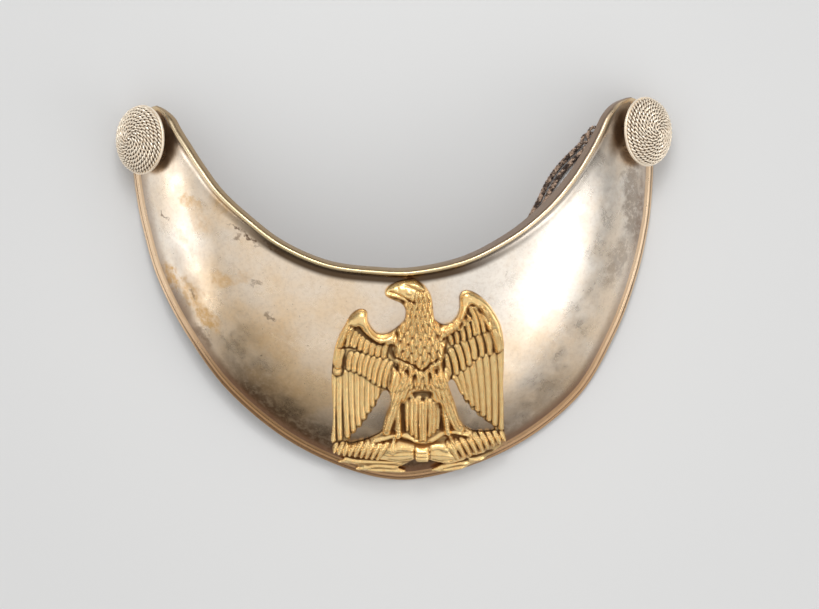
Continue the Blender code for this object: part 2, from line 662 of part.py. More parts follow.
def hitch_points(foot, normal):
    """The cord's turn round the post, just behind the plate."""
    across = normal.cross(Vector((0, 1, 0))).normalized()
    upward = normal.cross(across)
    radius = POST_RADIUS + GAP + CORD_DIAMETER / 2
    steps = 12
    points = []
    for k in range(steps + 1):
        turned_by = HITCH_TURNS * k / steps
        angle = math.radians(HITCH_START) + 2 * math.pi * turned_by
        depth = WALL + GAP + CORD_DIAMETER / 2 + HITCH_PITCH * turned_by
        around = across * math.cos(angle) + upward * math.sin(angle)
        points.append(foot - normal * depth + around * radius)
    return points


def make_cord(foot, normal, parent, made_of):
    route = hitch_points(foot, normal) + [Vector(p) * MM for p in CORD_LEAD]
    lead = smooth_through(route, LEAD_POINTS)
    bight = smooth_through(np.array(CORD_BIGHT) * MM, BIGHT_POINTS)
    cord_tube("cord_lead", lead, parent, made_of)
    cord_tube("cord_bight", bight, parent, made_of)
    make_knot(parent, made_of)


def stand_on_origin(parent, pieces):
    """Move all so that the box of the pieces is centred on the origin, with its base at 0."""
    bpy.context.view_layer.update()
    corners = np.array([p.matrix_world @ v.co for p in pieces for v in p.data.vertices])
    low, high = corners.min(axis=0), corners.max(axis=0)
    parent.location = (-(low[0] + high[0]) / 2, -(low[1] + high[1]) / 2, -low[2])


def main():
    for old in list(bpy.data.objects):
        bpy.data.objects.remove(old, do_unlink=True)
    silvered = material("worn_silver", (0.62, 0.56, 0.49), 0.32, 1.0)
    gilt = material("gilt_brass", (0.83, 0.58, 0.25), 0.34, 1.0)
    rope = material("silver_rope", (0.72, 0.64, 0.55), 0.42, 1.0)
    iron = material("dark_post", (0.30, 0.26, 0.22), 0.5, 1.0)
    thread = material("brown_cord", (0.13, 0.09, 0.08), 0.85, 0.0)

    lying = bpy.data.objects.new("gorget", None)
    bpy.context.scene.collection.objects.link(lying)
    surface = face_surface()
    plate = make_plate(lying, silvered)
    for side in BUTTON_PLACES:
        foot, normal = button_frame(surface, side)
        drill_plate(plate, side, foot, normal, lying)
        make_post(side, foot, normal, lying, iron)
        make_button(side, foot, normal, lying, rope)
    make_badge(surface, lying, gilt)
    stand_on_origin(lying, [p for p in lying.children if not p.hide_render])
    make_cord(lying.location + foot, normal, None, thread)


main()
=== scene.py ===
import math

import bpy
import numpy as np
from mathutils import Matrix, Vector
from mathutils.bvhtree import BVHTree


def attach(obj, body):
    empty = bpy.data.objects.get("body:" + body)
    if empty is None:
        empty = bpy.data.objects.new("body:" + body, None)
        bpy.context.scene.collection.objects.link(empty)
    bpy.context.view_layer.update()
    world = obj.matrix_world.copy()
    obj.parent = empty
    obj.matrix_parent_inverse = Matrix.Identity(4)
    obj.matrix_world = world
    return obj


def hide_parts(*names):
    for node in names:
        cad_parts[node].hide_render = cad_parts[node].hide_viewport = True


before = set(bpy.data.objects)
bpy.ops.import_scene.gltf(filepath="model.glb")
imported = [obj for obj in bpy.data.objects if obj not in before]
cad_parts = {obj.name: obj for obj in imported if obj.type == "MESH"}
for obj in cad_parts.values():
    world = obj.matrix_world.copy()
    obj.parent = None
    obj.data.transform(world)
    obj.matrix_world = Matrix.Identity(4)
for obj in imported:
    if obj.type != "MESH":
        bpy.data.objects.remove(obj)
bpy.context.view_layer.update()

# A gorget lying on its back: silvered plate, gilt eagle, two rope buttons and a short cord.
# Lengths are in millimetres up to the point where a mesh is made.
mm = 0.001
# points laid between two given ones on a smooth curve
curveSteps = 16


def deselectAll():
    if bpy.context.object and bpy.context.object.mode != "OBJECT":
        bpy.ops.object.mode_set(mode="OBJECT")
    bpy.ops.object.select_all(action="DESELECT")


def pick(*things):
    deselectAll()
    for thing in things:
        thing.select_set(True)
    bpy.context.view_layer.objects.active = things[0]
    return things[0]


def applyModifiers(piece):
    pick(piece)
    for modifier in list(piece.modifiers):
        bpy.ops.object.modifier_apply(modifier=modifier.name)


def softenEdges(piece, width):
    bevel = piece.modifiers.new("softEdges", "BEVEL")
    bevel.width, bevel.segments, bevel.limit_method = width * mm, 3, "ANGLE"
    applyModifiers(piece)


def joinPieces(pieces, name):
    whole = pick(*pieces)
    bpy.ops.object.join()
    whole.name = name
    return whole


def finishPiece(piece, name, look, smooth=40):
    pick(piece)
    bpy.ops.object.transform_apply(location=True, rotation=True, scale=True)
    bpy.ops.object.shade_smooth_by_angle(angle=math.radians(smooth))
    piece.name = name
    piece.data.name = name
    piece.data.materials.clear()
    piece.data.materials.append(look)
    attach(piece, "root")


def smoothThrough(points, count):
    # evenly spaced points on a smooth curve through the given ones
    points = np.array(points, float)
    ends = np.vstack([2 * points[0] - points[1], points, 2 * points[-1] - points[-2]])
    t = np.linspace(0, 1, curveSteps, endpoint=False)[:, None]
    curve = []
    for a, b, c, d in zip(ends, ends[1:], ends[2:], ends[3:]):
        curve.append(0.5 * (2 * b + (c - a) * t + (2 * a - 5 * b + 4 * c - d) * t**2
                            + (3 * b - a - 3 * c + d) * t**3))
    curve = np.vstack(curve + [points[-1:]])
    along = np.r_[0, np.cumsum(np.linalg.norm(np.diff(curve, axis=0), axis=1))]
    at = np.linspace(0, along[-1], count)
    return np.stack([np.interp(at, along, curve[:, i]) for i in range(curve.shape[1])], 1)


def setAttribute(mesh, name, values):
    layer = mesh.attributes.get(name) or mesh.attributes.new(name, "FLOAT", "POINT")
    layer.data.foreach_set("value", np.asarray(values, np.float32).ravel())


def getPoints(mesh):
    points = np.zeros(len(mesh.vertices) * 3, np.float32)
    mesh.vertices.foreach_get("co", points)
    return points.reshape(-1, 3).astype(float)


def setPoints(mesh, points):
    mesh.vertices.foreach_set("co", np.asarray(points, np.float32).ravel())
    mesh.update()


# Camera, straight above as in the photograph
camera = {"place": (4.27, -4.41, 1200), "lens": 189.9, "sensor": 36, "nearest": 50}


def makeCamera():
    bpy.ops.object.camera_add(location=[v * mm for v in camera["place"]], rotation=(0, 0, 0))
    eye = bpy.context.object
    eye.data.lens = camera["lens"]
    eye.data.sensor_width = camera["sensor"]
    eye.data.clip_start = camera["nearest"] * mm
    bpy.context.scene.camera = eye


# Shader helpers
def newLook(name, color, roughness, metallic):
    look = bpy.data.materials.new(name)
    look.use_nodes = True
    shader = look.node_tree.nodes["Principled BSDF"]
    shader.inputs["Base Color"].default_value = (*color, 1)
    shader.inputs["Roughness"].default_value = roughness
    shader.inputs["Metallic"].default_value = metallic
    return look, shader


def plug(tree, value, socket):
    # a value set on a socket, or the output of another node joined to it
    if isinstance(value, bpy.types.NodeSocket):
        tree.links.new(value, socket)
    elif socket.type == "RGBA":
        socket.default_value = (*value, 1)
    else:
        socket.default_value = value


def addNode(tree, kind, **values):
    node = tree.nodes.new(kind)
    for key, value in values.items():
        if hasattr(node, key):
            setattr(node, key, value)
        else:
            plug(tree, value, node.inputs[key])
    return node


def maths(tree, operation, *values, clamp=False):
    node = addNode(tree, "ShaderNodeMath", operation=operation, use_clamp=clamp)
    for socket, value in zip(node.inputs, values):
        plug(tree, value, socket)
    return node.outputs[0]


def product(tree, *values):
    total = values[0]
    for value in values[1:]:
        total = maths(tree, "MULTIPLY", total, value)
    return total


def vectorMaths(tree, operation, *values, **named):
    node = addNode(tree, "ShaderNodeVectorMath", operation=operation, **named)
    for socket, value in zip(node.inputs, values):
        plug(tree, value, socket)
    return node


def ramp(tree, value, low, high, outLow=0.0, outHigh=1.0):
    levels = {"From Min": low, "From Max": high, "To Min": outLow, "To Max": outHigh}
    node = addNode(tree, "ShaderNodeMapRange", interpolation_type="SMOOTHSTEP", Value=value,
                   **levels)
    return node.outputs["Result"]


def mixColor(tree, share, a, b):
    node = addNode(tree, "ShaderNodeMix", data_type="RGBA")
    for place, value in zip((0, 6, 7), (share, a, b)):
        plug(tree, value, node.inputs[place])
    return node.outputs[2]


def objectPlace(tree):
    return addNode(tree, "ShaderNodeTexCoord").outputs["Object"]


def readAttribute(tree, name):
    return addNode(tree, "ShaderNodeAttribute", attribute_name=name).outputs["Fac"]


def noise(tree, place, scale, detail, roughness):
    node = addNode(tree, "ShaderNodeTexNoise", Vector=place, Scale=scale, Detail=detail,
                   Roughness=roughness)
    return node.outputs["Fac"]


def addBump(tree, shader, height, distance):
    node = addNode(tree, "ShaderNodeBump", Height=height, Strength=1.0, Distance=distance)
    tree.links.new(node.outputs["Normal"], shader.inputs["Normal"])


def newGroup(name, vectors, numbers=()):
    # a node group with named inputs and a mask for its output
    group = bpy.data.node_groups.new(name, "ShaderNodeTree")
    for kind, titles in (("NodeSocketVector", vectors), ("NodeSocketFloat", numbers)):
        for title in titles:
            group.interface.new_socket(title, in_out="INPUT", socket_type=kind)
    group.interface.new_socket("Mask", in_out="OUTPUT", socket_type="NodeSocketFloat")
    given, result = group.nodes.new("NodeGroupInput"), group.nodes.new("NodeGroupOutput")
    return group, given.outputs, result.inputs["Mask"]


def grainGroup():
    # noise brought to a soft-edged mask between two levels
    cloudInputs, levels = ("Scale", "Detail", "Roughness"), ("Low", "High", "Least", "Most")
    group, given, result = newGroup("wornGrain", ("Place",), cloudInputs + levels)
    cloud = noise(group, given["Place"], *(given[name] for name in cloudInputs))
    mask = ramp(group, cloud, *(given[name] for name in levels))
    group.links.new(mask, result)
    return group


def grain(tree, place, scale, detail, roughness, low, high, least=0.0, most=1.0):
    node = addNode(tree, "ShaderNodeGroup", node_tree=wornGrain, Place=place, Scale=scale,
                   Detail=detail, Roughness=roughness, Low=low, High=high, Least=least,
                   Most=most)
    return node.outputs["Mask"]


# Plate
plate = {
    "halfWidth": 72.7, "depth": 106.0, "sideRadius": 88.0, "lengthRadius": 115.0,
    "middle": 43.99, "dome": 0.035, "leanX": 0.0031614, "leanY": 0.4364585, "lift": 8.5484,
    "corner": (-0.3116, -53.2924, 0.6905), "wall": 1.0, "hemWidth": 3.1, "hemStep": 0.4,
    "rollWidth": 3.4, "rollHeight": 1.15, "fullEdges": 11.0,
    "leastTurn": 0.62, "hornEasing": 0.06, "leastSquare": 300, "thinnest": 0.6,
    # how far the neck roll turns back down in mm, at four places from left to right
    "rollReturn": (1.1, 1.9, 3.0, 1.2), "returnPlaces": (-55, 0, 42, 60),
    "stations": 300, "outlineSteps": 2000, "hemSteps": 44, "acrossSteps": 26, "rollSteps": 40,
    "rollUnderSteps": 12, "underSteps": 10, "surfaceSteps": 31,
    # outer edge x, y and neck edge x, y: shares of the half width and of the depth
    "sections": (
        (-0.915, 0.975, -0.895, 0.978), (-0.953, 0.957, -0.869, 0.969),
        (-0.985, 0.907, -0.834, 0.947), (-0.999, 0.840, -0.804, 0.912),
        (-0.989, 0.759, -0.766, 0.872), (-0.957, 0.652, -0.714, 0.818),
        (-0.898, 0.522, -0.644, 0.754), (-0.786, 0.377, -0.541, 0.688),
        (-0.619, 0.225, -0.410, 0.620), (-0.370, 0.090, -0.238, 0.569),
        (-0.077, 0.008, -0.052, 0.552), (0.160, 0.009, 0.089, 0.552),
        (0.458, 0.084, 0.272, 0.580), (0.709, 0.216, 0.439, 0.639),
        (0.851, 0.379, 0.568, 0.709), (0.936, 0.532, 0.660, 0.782),
        (0.981, 0.665, 0.724, 0.849), (0.997, 0.774, 0.769, 0.906),
        (0.999, 0.856, 0.799, 0.950), (0.984, 0.923, 0.836, 0.981),
        (0.954, 0.973, 0.877, 0.996), (0.925, 0.995, 0.900, 1.000),
    ),
    # distance from the edge as a share of the hem or roll, height as a share of its step, or
    # of the wall under the roll
    "hemTop": ((0, -2.1), (0.02, -1.3), (0.08, -0.78), (0.16, -0.62), (0.24, -0.8), (0.31, -1.0),
               (0.36, -0.75), (0.41, -0.2), (0.45, -0.1), (0.49, -0.22), (0.54, -0.7),
               (0.60, -0.92), (0.75, -0.84), (0.88, -0.72), (0.94, -0.3), (1.0, 0.0)),
    "rollTop": ((1.0, 0.0), (0.84, 0.0), (0.68, 0.06), (0.56, 0.18), (0.47, 0.38), (0.38, 0.68),
                (0.31, 0.88), (0.25, 0.985), (0.2, 1.0), (0.13, 0.92), (0.07, 0.7),
                (0.02, 0.36), (0.0, -0.2)),
    "rollUnder": ((0.2, -0.62), (0.32, -0.46), (0.5, -0.56), (0.72, -0.9)),
    "hemUnder": ((0.95, -0.25), (0.83, -0.6), (0.4, -0.62), (0.1, -0.6)),
}


def formHeight(x, y):
    # height of the plain curved form under the plate at a place in plan
    left, up = x - plate["corner"][0], y - plate["corner"][1]
    across = np.sqrt(np.maximum(plate["sideRadius"]**2 - left**2, plate["leastSquare"]))
    bend = (up - plate["middle"])**2 / (2 * plate["lengthRadius"])
    tilt = plate["leanX"] * left + plate["leanY"] * up
    return across - plate["sideRadius"] - bend + tilt + plate["lift"] + plate["corner"][2]


def formNormal(x, y):
    step = 0.5
    slopeX = (formHeight(x + step, y) - formHeight(x - step, y)) / (2 * step)
    slopeY = (formHeight(x, y + step) - formHeight(x, y - step)) / (2 * step)
    normal = np.stack([-slopeX, -slopeY, np.ones_like(slopeX)], -1)
    return normal / np.linalg.norm(normal, axis=-1, keepdims=True)


def platePlan(count):
    sizes = np.array([plate["halfWidth"], plate["depth"]] * 2)
    dense = smoothThrough(np.array(plate["sections"]) * sizes, plate["outlineSteps"])
    share = np.linspace(0, 1, count)
    eased = (share - plate["hornEasing"] * np.sin(2 * math.pi * share)) * (len(dense) - 1)
    plan = np.stack([np.interp(eased, range(len(dense)), dense[:, i]) for i in range(4)], 1)
    return plan + np.array(plate["corner"][:2] * 2)


def facePoints(plan, shares):
    # points of the domed face: one row for each station, share 0 at the outer edge
    outer, neck = plan[:, None, :2], plan[:, None, 2:]
    shares = np.asarray(shares)[..., None]
    place = outer + (neck - outer) * shares
    width = np.linalg.norm(neck - outer, axis=-1, keepdims=True)
    dome = plate["dome"] * width * (1 - (2 * shares - 1)**2)
    x, y = place[..., 0], place[..., 1]
    flat = np.stack([x, y, formHeight(x, y)], -1)
    return flat + formNormal(x, y) * dome


def squareWidths(plan):
    # width at each station, measured square to the outer edge and to the neck edge
    across = plan[:, 2:] - plan[:, :2]
    width = np.linalg.norm(across, axis=1)
    widths = []
    for edge in (plan[:, :2], plan[:, 2:]):
        along = np.gradient(edge, axis=0)
        along /= np.linalg.norm(along, axis=1, keepdims=True)
        turn = np.abs(across[:, 0] * along[:, 1] - across[:, 1] * along[:, 0]) / width
        widths.append(width * np.clip(turn, plate["leastTurn"], 1))
    return np.stack(widths, 1)


def plateProfile(fromOuter, fromNeck, rollReturn):
    # closed cross-section at a station: share across, height over the face, underside flag
    fit = min(1, fromOuter / plate["fullEdges"], fromNeck / plate["fullEdges"])
    hem, roll = fit * plate["hemWidth"] / fromOuter, fit * plate["rollWidth"] / fromNeck
    thin = plate["wall"] * max(fit, plate["thinnest"])
    step, crest = plate["hemStep"] * fit, plate["rollHeight"] * fit
    rows = [(d * hem, h * step, 0) for d, h in smoothThrough(plate["hemTop"], plate["hemSteps"])]
    rows += [(s, 0.0, 0) for s in np.linspace(hem, 1 - roll, plate["acrossSteps"] + 2)[1:-1]]
    rows += [(1 - d * roll, h * crest, 0)
             for d, h in smoothThrough(plate["rollTop"], plate["rollSteps"])]
    # the roll turns back down to a thin lip, and the underside runs back to the hem
    lip = 0.8 * plate["wall"] * fit / fromNeck
    turn = -rollReturn * fit
    rows += [(1, 0.5 * turn - 0.12 * crest, 0), (1, turn, 0), (1 - lip, turn, 1)]
    rows += [(1 - d * roll, h * plate["wall"] * fit, 1)
             for d, h in smoothThrough(plate["rollUnder"], plate["rollUnderSteps"])]
    inner = np.linspace(1 - 0.72 * roll, 0.95 * hem, plate["underSteps"] + 2)[1:-1]
    rows += [(s, -thin, 1) for s in inner]
    rows += [(d * hem, -thin + h * step, 1) for d, h in plate["hemUnder"]]
    return np.array(rows)


def makePlate(look):
    plan = platePlan(plate["stations"])
    widths = squareWidths(plan)
    returns = np.interp(plan[:, 2], plate["returnPlaces"], plate["rollReturn"])
    profiles = np.array([plateProfile(*pair, back) for pair, back in zip(widths, returns)])
    points = facePoints(plan, profiles[..., 0])
    points += formNormal(points[..., 0], points[..., 1]) * profiles[..., 1:2]
    rows, columns = profiles.shape[1], len(plan)
    bpy.ops.mesh.primitive_grid_add(x_subdivisions=columns - 1, y_subdivisions=rows, size=1)
    sheet = bpy.context.object
    start = getPoints(sheet.data) + 0.5
    column = np.rint(start[:, 0] * (columns - 1)).astype(int)
    row = np.rint(start[:, 1] * rows).astype(int) % rows
    setPoints(sheet.data, points[column, row] * mm)
    share = profiles[column, row, 0]
    setAttribute(sheet.data, "fromEdge", share * widths[column, 0] * mm)
    setAttribute(sheet.data, "fromNeck", (1 - share) * widths[column, 1] * mm)
    setAttribute(sheet.data, "underside", profiles[column, row, 2])
    bpy.ops.object.mode_set(mode="EDIT")
    bpy.ops.mesh.select_all(action="SELECT")
    bpy.ops.mesh.remove_doubles(threshold=1e-7)
    bpy.ops.mesh.fill_holes(sides=0)
    bpy.ops.mesh.select_all(action="SELECT")
    bpy.ops.mesh.normals_make_consistent(inside=False)
    bpy.ops.object.mode_set(mode="OBJECT")
    finishPiece(sheet, "silvered_plate", look, smooth=50)
    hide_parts("plate")
    print("plate done:", len(sheet.data.vertices), "vertices")


def plateSurface():
    # the plain domed face, for what lies on it
    plan, shares = platePlan(plate["stations"]), np.linspace(0, 1, plate["surfaceSteps"])
    points = facePoints(plan, np.tile(shares, (len(plan), 1)))
    columns, rows = points.shape[:2]
    faces = [(i * rows + j, (i + 1) * rows + j, (i + 1) * rows + j + 1, i * rows + j + 1)
             for i in range(columns - 1) for j in range(rows - 1)]
    return BVHTree.FromPolygons([Vector(p) for p in points.reshape(-1, 3)], faces)


# Eagle
eagle = {
    "unit": 0.528, "foot": (6.99, -50.29), "pitch": 0.37, "gap": 0.3, "base": 0.55,
    "rimWidth": 1.3, "rimShare": 0.5, "cornerCuts": 2, "cornerShare": 0.2,
    # outline and gaps in hundredths of the badge's height, from the foot of its axis
    "outline": (
        (-3, 100.3), (-8, 99.5), (-12, 98.5), (-16, 96.5), (-17.6, 94.5), (-17.8, 92.5),
        (-16.5, 91), (-14, 89.8), (-10, 88.3), (-8, 86.5), (-7, 84), (-7.5, 79), (-9.5, 77),
        (-12.5, 74.5), (-16, 72.2), (-19, 71.5), (-22, 72), (-24.2, 74), (-26, 77), (-27, 80),
        (-26.6, 82.5), (-28, 84.3), (-31, 84.6), (-34, 83), (-36.5, 80), (-38.5, 76), (-41, 72),
        (-43, 67), (-44, 62), (-44.8, 57), (-45.3, 50), (-45, 42), (-44.6, 32), (-45, 24),
        (-46.3, 17), (-45.2, 14.5), (-45.3, 12), (-44, 10), (-40, 8.8), (-38.5, 7.2),
        (-43.5, 5.2), (-38, 4.3), (-33, 4.0), (-31.5, 2.9), (-34, 1.3), (-30, 0.6), (-24, 0.2),
        (-16, -0.2), (-7.5, -0.4), (-7, 0.6), (-12, 2.2), (-7.5, 4), (-4, 6), (-1.5, 7),
        (3.8, 7.2), (6, 6.3), (10, 5.4), (15.5, 5.1), (10, 3.2), (5.5, 0.8), (8, 0.1), (14, 0),
        (20, 0.5), (24, 1.9), (26, 3.5), (31, 5.3), (36, 8.5), (40, 11.5), (43.6, 14.5),
        (45, 17.5), (44.3, 20.3), (43.6, 26), (43.4, 36), (43, 46), (43.2, 56), (43.4, 62),
        (43, 68), (42.4, 73), (41, 78), (38.5, 83), (35, 88), (31, 91.5), (27, 93.8), (24, 94.3),
        (21.5, 93.3), (20.3, 91), (20.6, 87), (20.3, 83), (19, 80), (16.5, 77.5), (13, 76.3),
        (10, 77.5), (7.5, 79.5), (7, 83), (6.6, 88), (5.8, 92), (4, 95), (2, 97.5), (-1, 99.4),
    ),
    "gaps": (
        (
            (-19, 43), (-16.5, 43), (-15, 41), (-14.5, 38), (-15.4, 34), (-17.5, 30),
            (-18.8, 25), (-19.3, 21.5), (-21, 20), (-24, 18.5), (-28, 16.7), (-32, 15.5),
            (-36.5, 14.4), (-38, 15.7), (-36, 17.5), (-35.2, 20.2), (-33.2, 20.6), (-32.2, 23.4),
            (-30, 23.6), (-29.2, 26.9), (-27.2, 27.6), (-26.6, 30.6), (-24.8, 31.4), (-24, 34),
            (-22.4, 34.8), (-21.8, 38), (-20.5, 39.5),
        ),
        (
            (14.3, 48.3), (17.3, 48.8), (19, 46), (20.5, 42), (22.5, 39.6), (23.4, 36.6),
            (25.4, 36), (26.6, 32.8), (28.8, 32.2), (30.2, 29.4), (32.6, 28.8), (34.2, 26.6),
            (36.5, 25.6), (39.5, 22.8), (39, 21.3), (34, 20.8), (28, 21), (24.5, 22.7),
            (22, 25.5), (20.4, 28), (19.4, 32), (18, 37), (16.5, 41), (15, 45),
        ),
    ),
    # broad masses: chains of x, y and radius in hundredths, and height in mm
    "masses": (
        ((0, 72, 11, 2.2), (0, 64, 13, 2.9), (1, 54, 9, 2.2), (1, 46, 9, 1.9)),
        ((-1, 90, 6.5, 2.2), (0, 80, 7.5, 2.3), (0, 72, 11, 2.2)),
        ((-2, 94, 6.5, 2.7), (-9, 94, 4.6, 2.2), (-16, 93.3, 2.2, 1.6)),
        ((-14, 70, 3, 2.2), (-20, 69.6, 2.4, 2.0), (-24.5, 73, 2.6, 2.0), (-29.5, 80, 4, 2.0)),
        ((-29.5, 80, 4, 2.0), (-36, 77.0, 2.6, 1.7), (-42, 66, 2.2, 1.5), (-44, 58, 1.7, 1.3)),
        ((12, 73.5, 3, 2.2), (18, 77, 2.2, 1.9), (22, 84, 2, 1.8), (24, 91, 3.4, 2.0)),
        ((24, 91, 3.4, 2.0), (32, 87, 3.6, 2.1), (38, 78, 4.2, 2.1), (40.3, 67, 3.6, 1.9)),
        ((-8, 48, 7, 2.4), (-13, 37, 4.4, 2.3), (-16, 27, 3.2, 1.9), (-17, 22, 2.4, 1.6)),
        ((8, 48, 7, 2.4), (14, 37, 4.4, 2.3), (17.5, 28, 3.2, 1.9), (20.5, 23.5, 2.8, 1.6)),
        ((-10.6, 34, 2, 1.9), (-10.8, 20.5, 1.8, 2.2)),
        ((12.3, 34, 2, 1.9), (14.3, 22, 1.8, 2.2)),
        ((1.5, 40, 8, 1.0), (1.5, 24, 9, 1.0), (1.5, 18, 4, 1.1)),
        ((-2, 10.8, 3.8, 2.0), (-12, 11.3, 5.6, 2.3), (-26, 12, 4.4, 2.0), (-44, 12, 2, 1.4)),
        ((4, 10.8, 3.8, 2.0), (14, 10.5, 5.6, 2.3), (28, 14.5, 5, 2.0), (43.5, 18.3, 2.2, 1.4)),
        ((-0.3, 10.5, 3.6, 2.7), (2.8, 10.5, 3.6, 2.7)),
    ),
    # rows of feathers, lowest first: count, line of the roots, line of the tips and half
    # width in hundredths, lift at the tip in mm, sideways bow as a share of the length, and
    # how pointed the tip is
    "rowColumns": ("count", "roots", "tips", "halfWidth", "lift", "bow", "point"),
    "rows": (
        # left flight feathers
        (9, ((-44, 51), (-32, 53), (-21.5, 46)),
         ((-45, 15.2), (-38, 17.6), (-31.5, 23.8), (-26.8, 30.6), (-22.2, 37.8)),
         1.65, 0.36, 0.02, 0.15),
        # right flight feathers
        (8, ((18, 50), (26.3, 57), (34, 61), (41.4, 63)),
         ((22.8, 40.6), (28.3, 33.6), (34.8, 27.6), (39, 24.2), (42.3, 21.6)),
         1.9, 0.52, -0.03, 0.15),
        # tail
        (3, ((-6.3, 38), (-2, 38)), ((-6.4, 21.4), (-1.7, 17.6)), 1.3, 0.4, 0.03, 0.1),
        (3, ((5.2, 38), (9.8, 35)), ((4.8, 18.6), (9.6, 22.6)), 1.3, 0.4, -0.08, 0.1),
        (3, ((0, 38), (3.1, 38)), ((0.3, 16.9), (2.9, 16.9)), 0.85, 0.6, 0, 0),
        # left long coverts
        (1, ((-41, 60), (-41, 60)), ((-42.4, 50.6), (-42.4, 50.6)), 2.7, 0.5, 0.1, 0),
        (9, ((-35, 62), (-25.5, 61), (-18.5, 59.5), (-12.5, 55)),
         ((-36.5, 53.2), (-28.8, 50.2), (-23, 45.8), (-15.6, 43.4)), 1.7, 0.55, 0.12, 0.12),
        (1, ((-40.5, 63.5), (-40.5, 63.5)), ((-42, 54.4), (-42, 54.4)), 2.5, 0.6, 0.1, 0),
        # left short coverts
        (6, ((-31, 72), (-23.5, 69), (-16.5, 67.5)),
         ((-34.2, 64.6), (-26.6, 61.4), (-18.8, 59.4)), 1.8, 0.55, 0.12, 0.1),
        (3, ((-32.5, 74), (-37, 76.5)), ((-35.8, 65.2), (-40.6, 65.4)), 1.95, 0.6, 0.1, 0.1),
        # right long coverts
        (8, ((13, 61), (21.5, 68), (29, 71), (37.5, 74)),
         ((15.4, 49.4), (22.6, 53), (29, 58.8), (33, 60.2), (40, 62)), 1.75, 0.55, -0.1, 0.1),
        # right short coverts
        (5, ((13.5, 75), (22.5, 79), (26, 82)), ((16.7, 66.4), (22.6, 68), (28.6, 71)),
         1.4, 0.5, -0.1, 0.1),
        (4, ((14.5, 77.5), (21, 80.5), (24, 84)),
         ((16.8, 72.4), (22, 74.6), (25.8, 78.4)), 1.35, 0.42, -0.1, 0.2),
        (3, ((26, 85.5), (28.6, 86.4), (31.4, 85)), ((30.4, 71.4), (33.4, 72.6), (36, 74.2)),
         1.6, 0.55, -0.1, 0.2),
        # thighs
        (3, ((-9.5, 44), (-13.8, 42)), ((-13.4, 22), (-18.2, 22.2)), 1.45, 0.4, -0.06, 0.3),
        (3, ((12, 43), (16, 43)), ((17.6, 24.6), (22.2, 24.4)), 1.45, 0.4, 0.06, 0.3),
        (4, ((-6, 50), (-13.5, 48)), ((-8.6, 38), (-15.8, 35)), 1.5, 0.5, -0.07, 0.5),
        (4, ((8, 50), (14.5, 49)), ((10.5, 39), (18.6, 36)), 1.5, 0.5, 0.07, 0.5),
        (5, ((-5, 55), (-13, 54)), ((-7.6, 44.6), (-15.2, 42.6)), 1.45, 0.55, -0.05, 0.5),
        (5, ((6.5, 55), (13.6, 54)), ((9, 45.6), (16.6, 43.4)), 1.45, 0.55, 0.05, 0.5),
        # belly
        (5, ((-4, 50), (6.4, 50)), ((-4.8, 43.4), (7, 43.8)), 1.6, 0.5, 0.05, 0.5),
        (6, ((-8, 55), (10, 55)), ((-9.4, 47.2), (1, 45.8), (11.4, 47.6)), 1.7, 0.6, -0.05, 0.5),
        (5, ((-8.5, 60), (10, 60)), ((-10.4, 52), (0.5, 50), (11.4, 52.4)), 1.8, 0.55, 0.05, 0.5),
        # breast
        (7, ((-11, 64), (0, 62), (10.5, 64)), ((-12.4, 60), (-6, 58.2), (1, 54.8), (10.4, 59)),
         1.9, 0.6, 0.04, 0.4),
        (6, ((-10.5, 67.6), (0.5, 65.4), (10.5, 67.4)), ((-11.4, 62.2), (0.8, 59.4), (11.2, 62)),
         1.9, 0.5, -0.04, 0.4),
        (7, ((-11.6, 70.6), (0, 69), (12, 70)), ((-12.4, 65.6), (0, 63.2), (12.6, 65.2)),
         1.8, 0.45, 0.04, 0.4),
        (6, ((-9.8, 74), (0, 72.4), (10.4, 73)), ((-10.6, 69), (0, 67), (11, 68.2)),
         1.75, 0.42, -0.04, 0.4),
        (5, ((-8, 77), (0, 75.6), (9, 76)), ((-9, 72.6), (0, 70.6), (9.8, 71.4)),
         1.7, 0.4, 0.04, 0.4),
        # neck
        (5, ((-5.8, 81), (5.4, 81)), ((-6.6, 74.4), (0, 73), (6.8, 74.2)), 1.45, 0.42, 0.06, 0.6),
        (6, ((-6, 84.6), (6, 84.6)), ((-6.8, 78.2), (6.6, 77.8)), 1.25, 0.42, -0.07, 0.6),
        (5, ((-5, 88.4), (5.4, 88.4)), ((-5.8, 81.8), (5.6, 81.6)), 1.3, 0.4, 0.07, 0.6),
        (5, ((-3.8, 92), (5, 92.6)), ((-5.2, 85.6), (5.9, 85.4)), 1.2, 0.36, -0.06, 0.6),
        (4, ((-1.4, 94.4), (4.6, 94)), ((-2.6, 89), (5.6, 88.8)), 1.1, 0.32, 0.06, 0.6),
        # flames of the thunderbolt
        (9, ((-43, 14.4), (-32, 15.6), (-17, 16)), ((-45, 10), (-38, 8.6), (-22.6, 7)),
         1.6, 0.75, 0.1, 0.35),
        (9, ((42.5, 20.6), (31, 20), (15, 16)), ((44.6, 16.2), (38, 13), (20.6, 7)),
         1.6, 0.75, -0.1, 0.35),
    ),
    # ridges: points, half width, rise in mm
    "ridges": (
        (((-12, 96.8), (-15.5, 95.6), (-17.2, 93)), 1.1, 0.3),
        (((-8, 99), (-3, 98.4), (1, 97), (4.4, 95)), 0.9, 0.4),
        (((-15, 93.1), (-11, 92.3), (-7.5, 91)), 0.55, 0.3),
        (((-6.4, 94.4), (-5.2, 94.6)), 0.9, 0.35),
        (((-26.6, 78), (-24.6, 73.4), (-22, 70.8), (-18, 70.2), (-14.5, 71.4)), 1.0, 0.35),
        (((-35, 79.4), (-39.6, 72), (-42.6, 65), (-43.8, 58)), 0.7, 0.3),
        (((21.4, 90), (21.4, 85), (20.6, 80.6)), 0.8, 0.3),
        (((28, 91.6), (33.6, 87.6), (38, 80), (40.8, 72), (41.4, 66)), 1.3, 0.35),
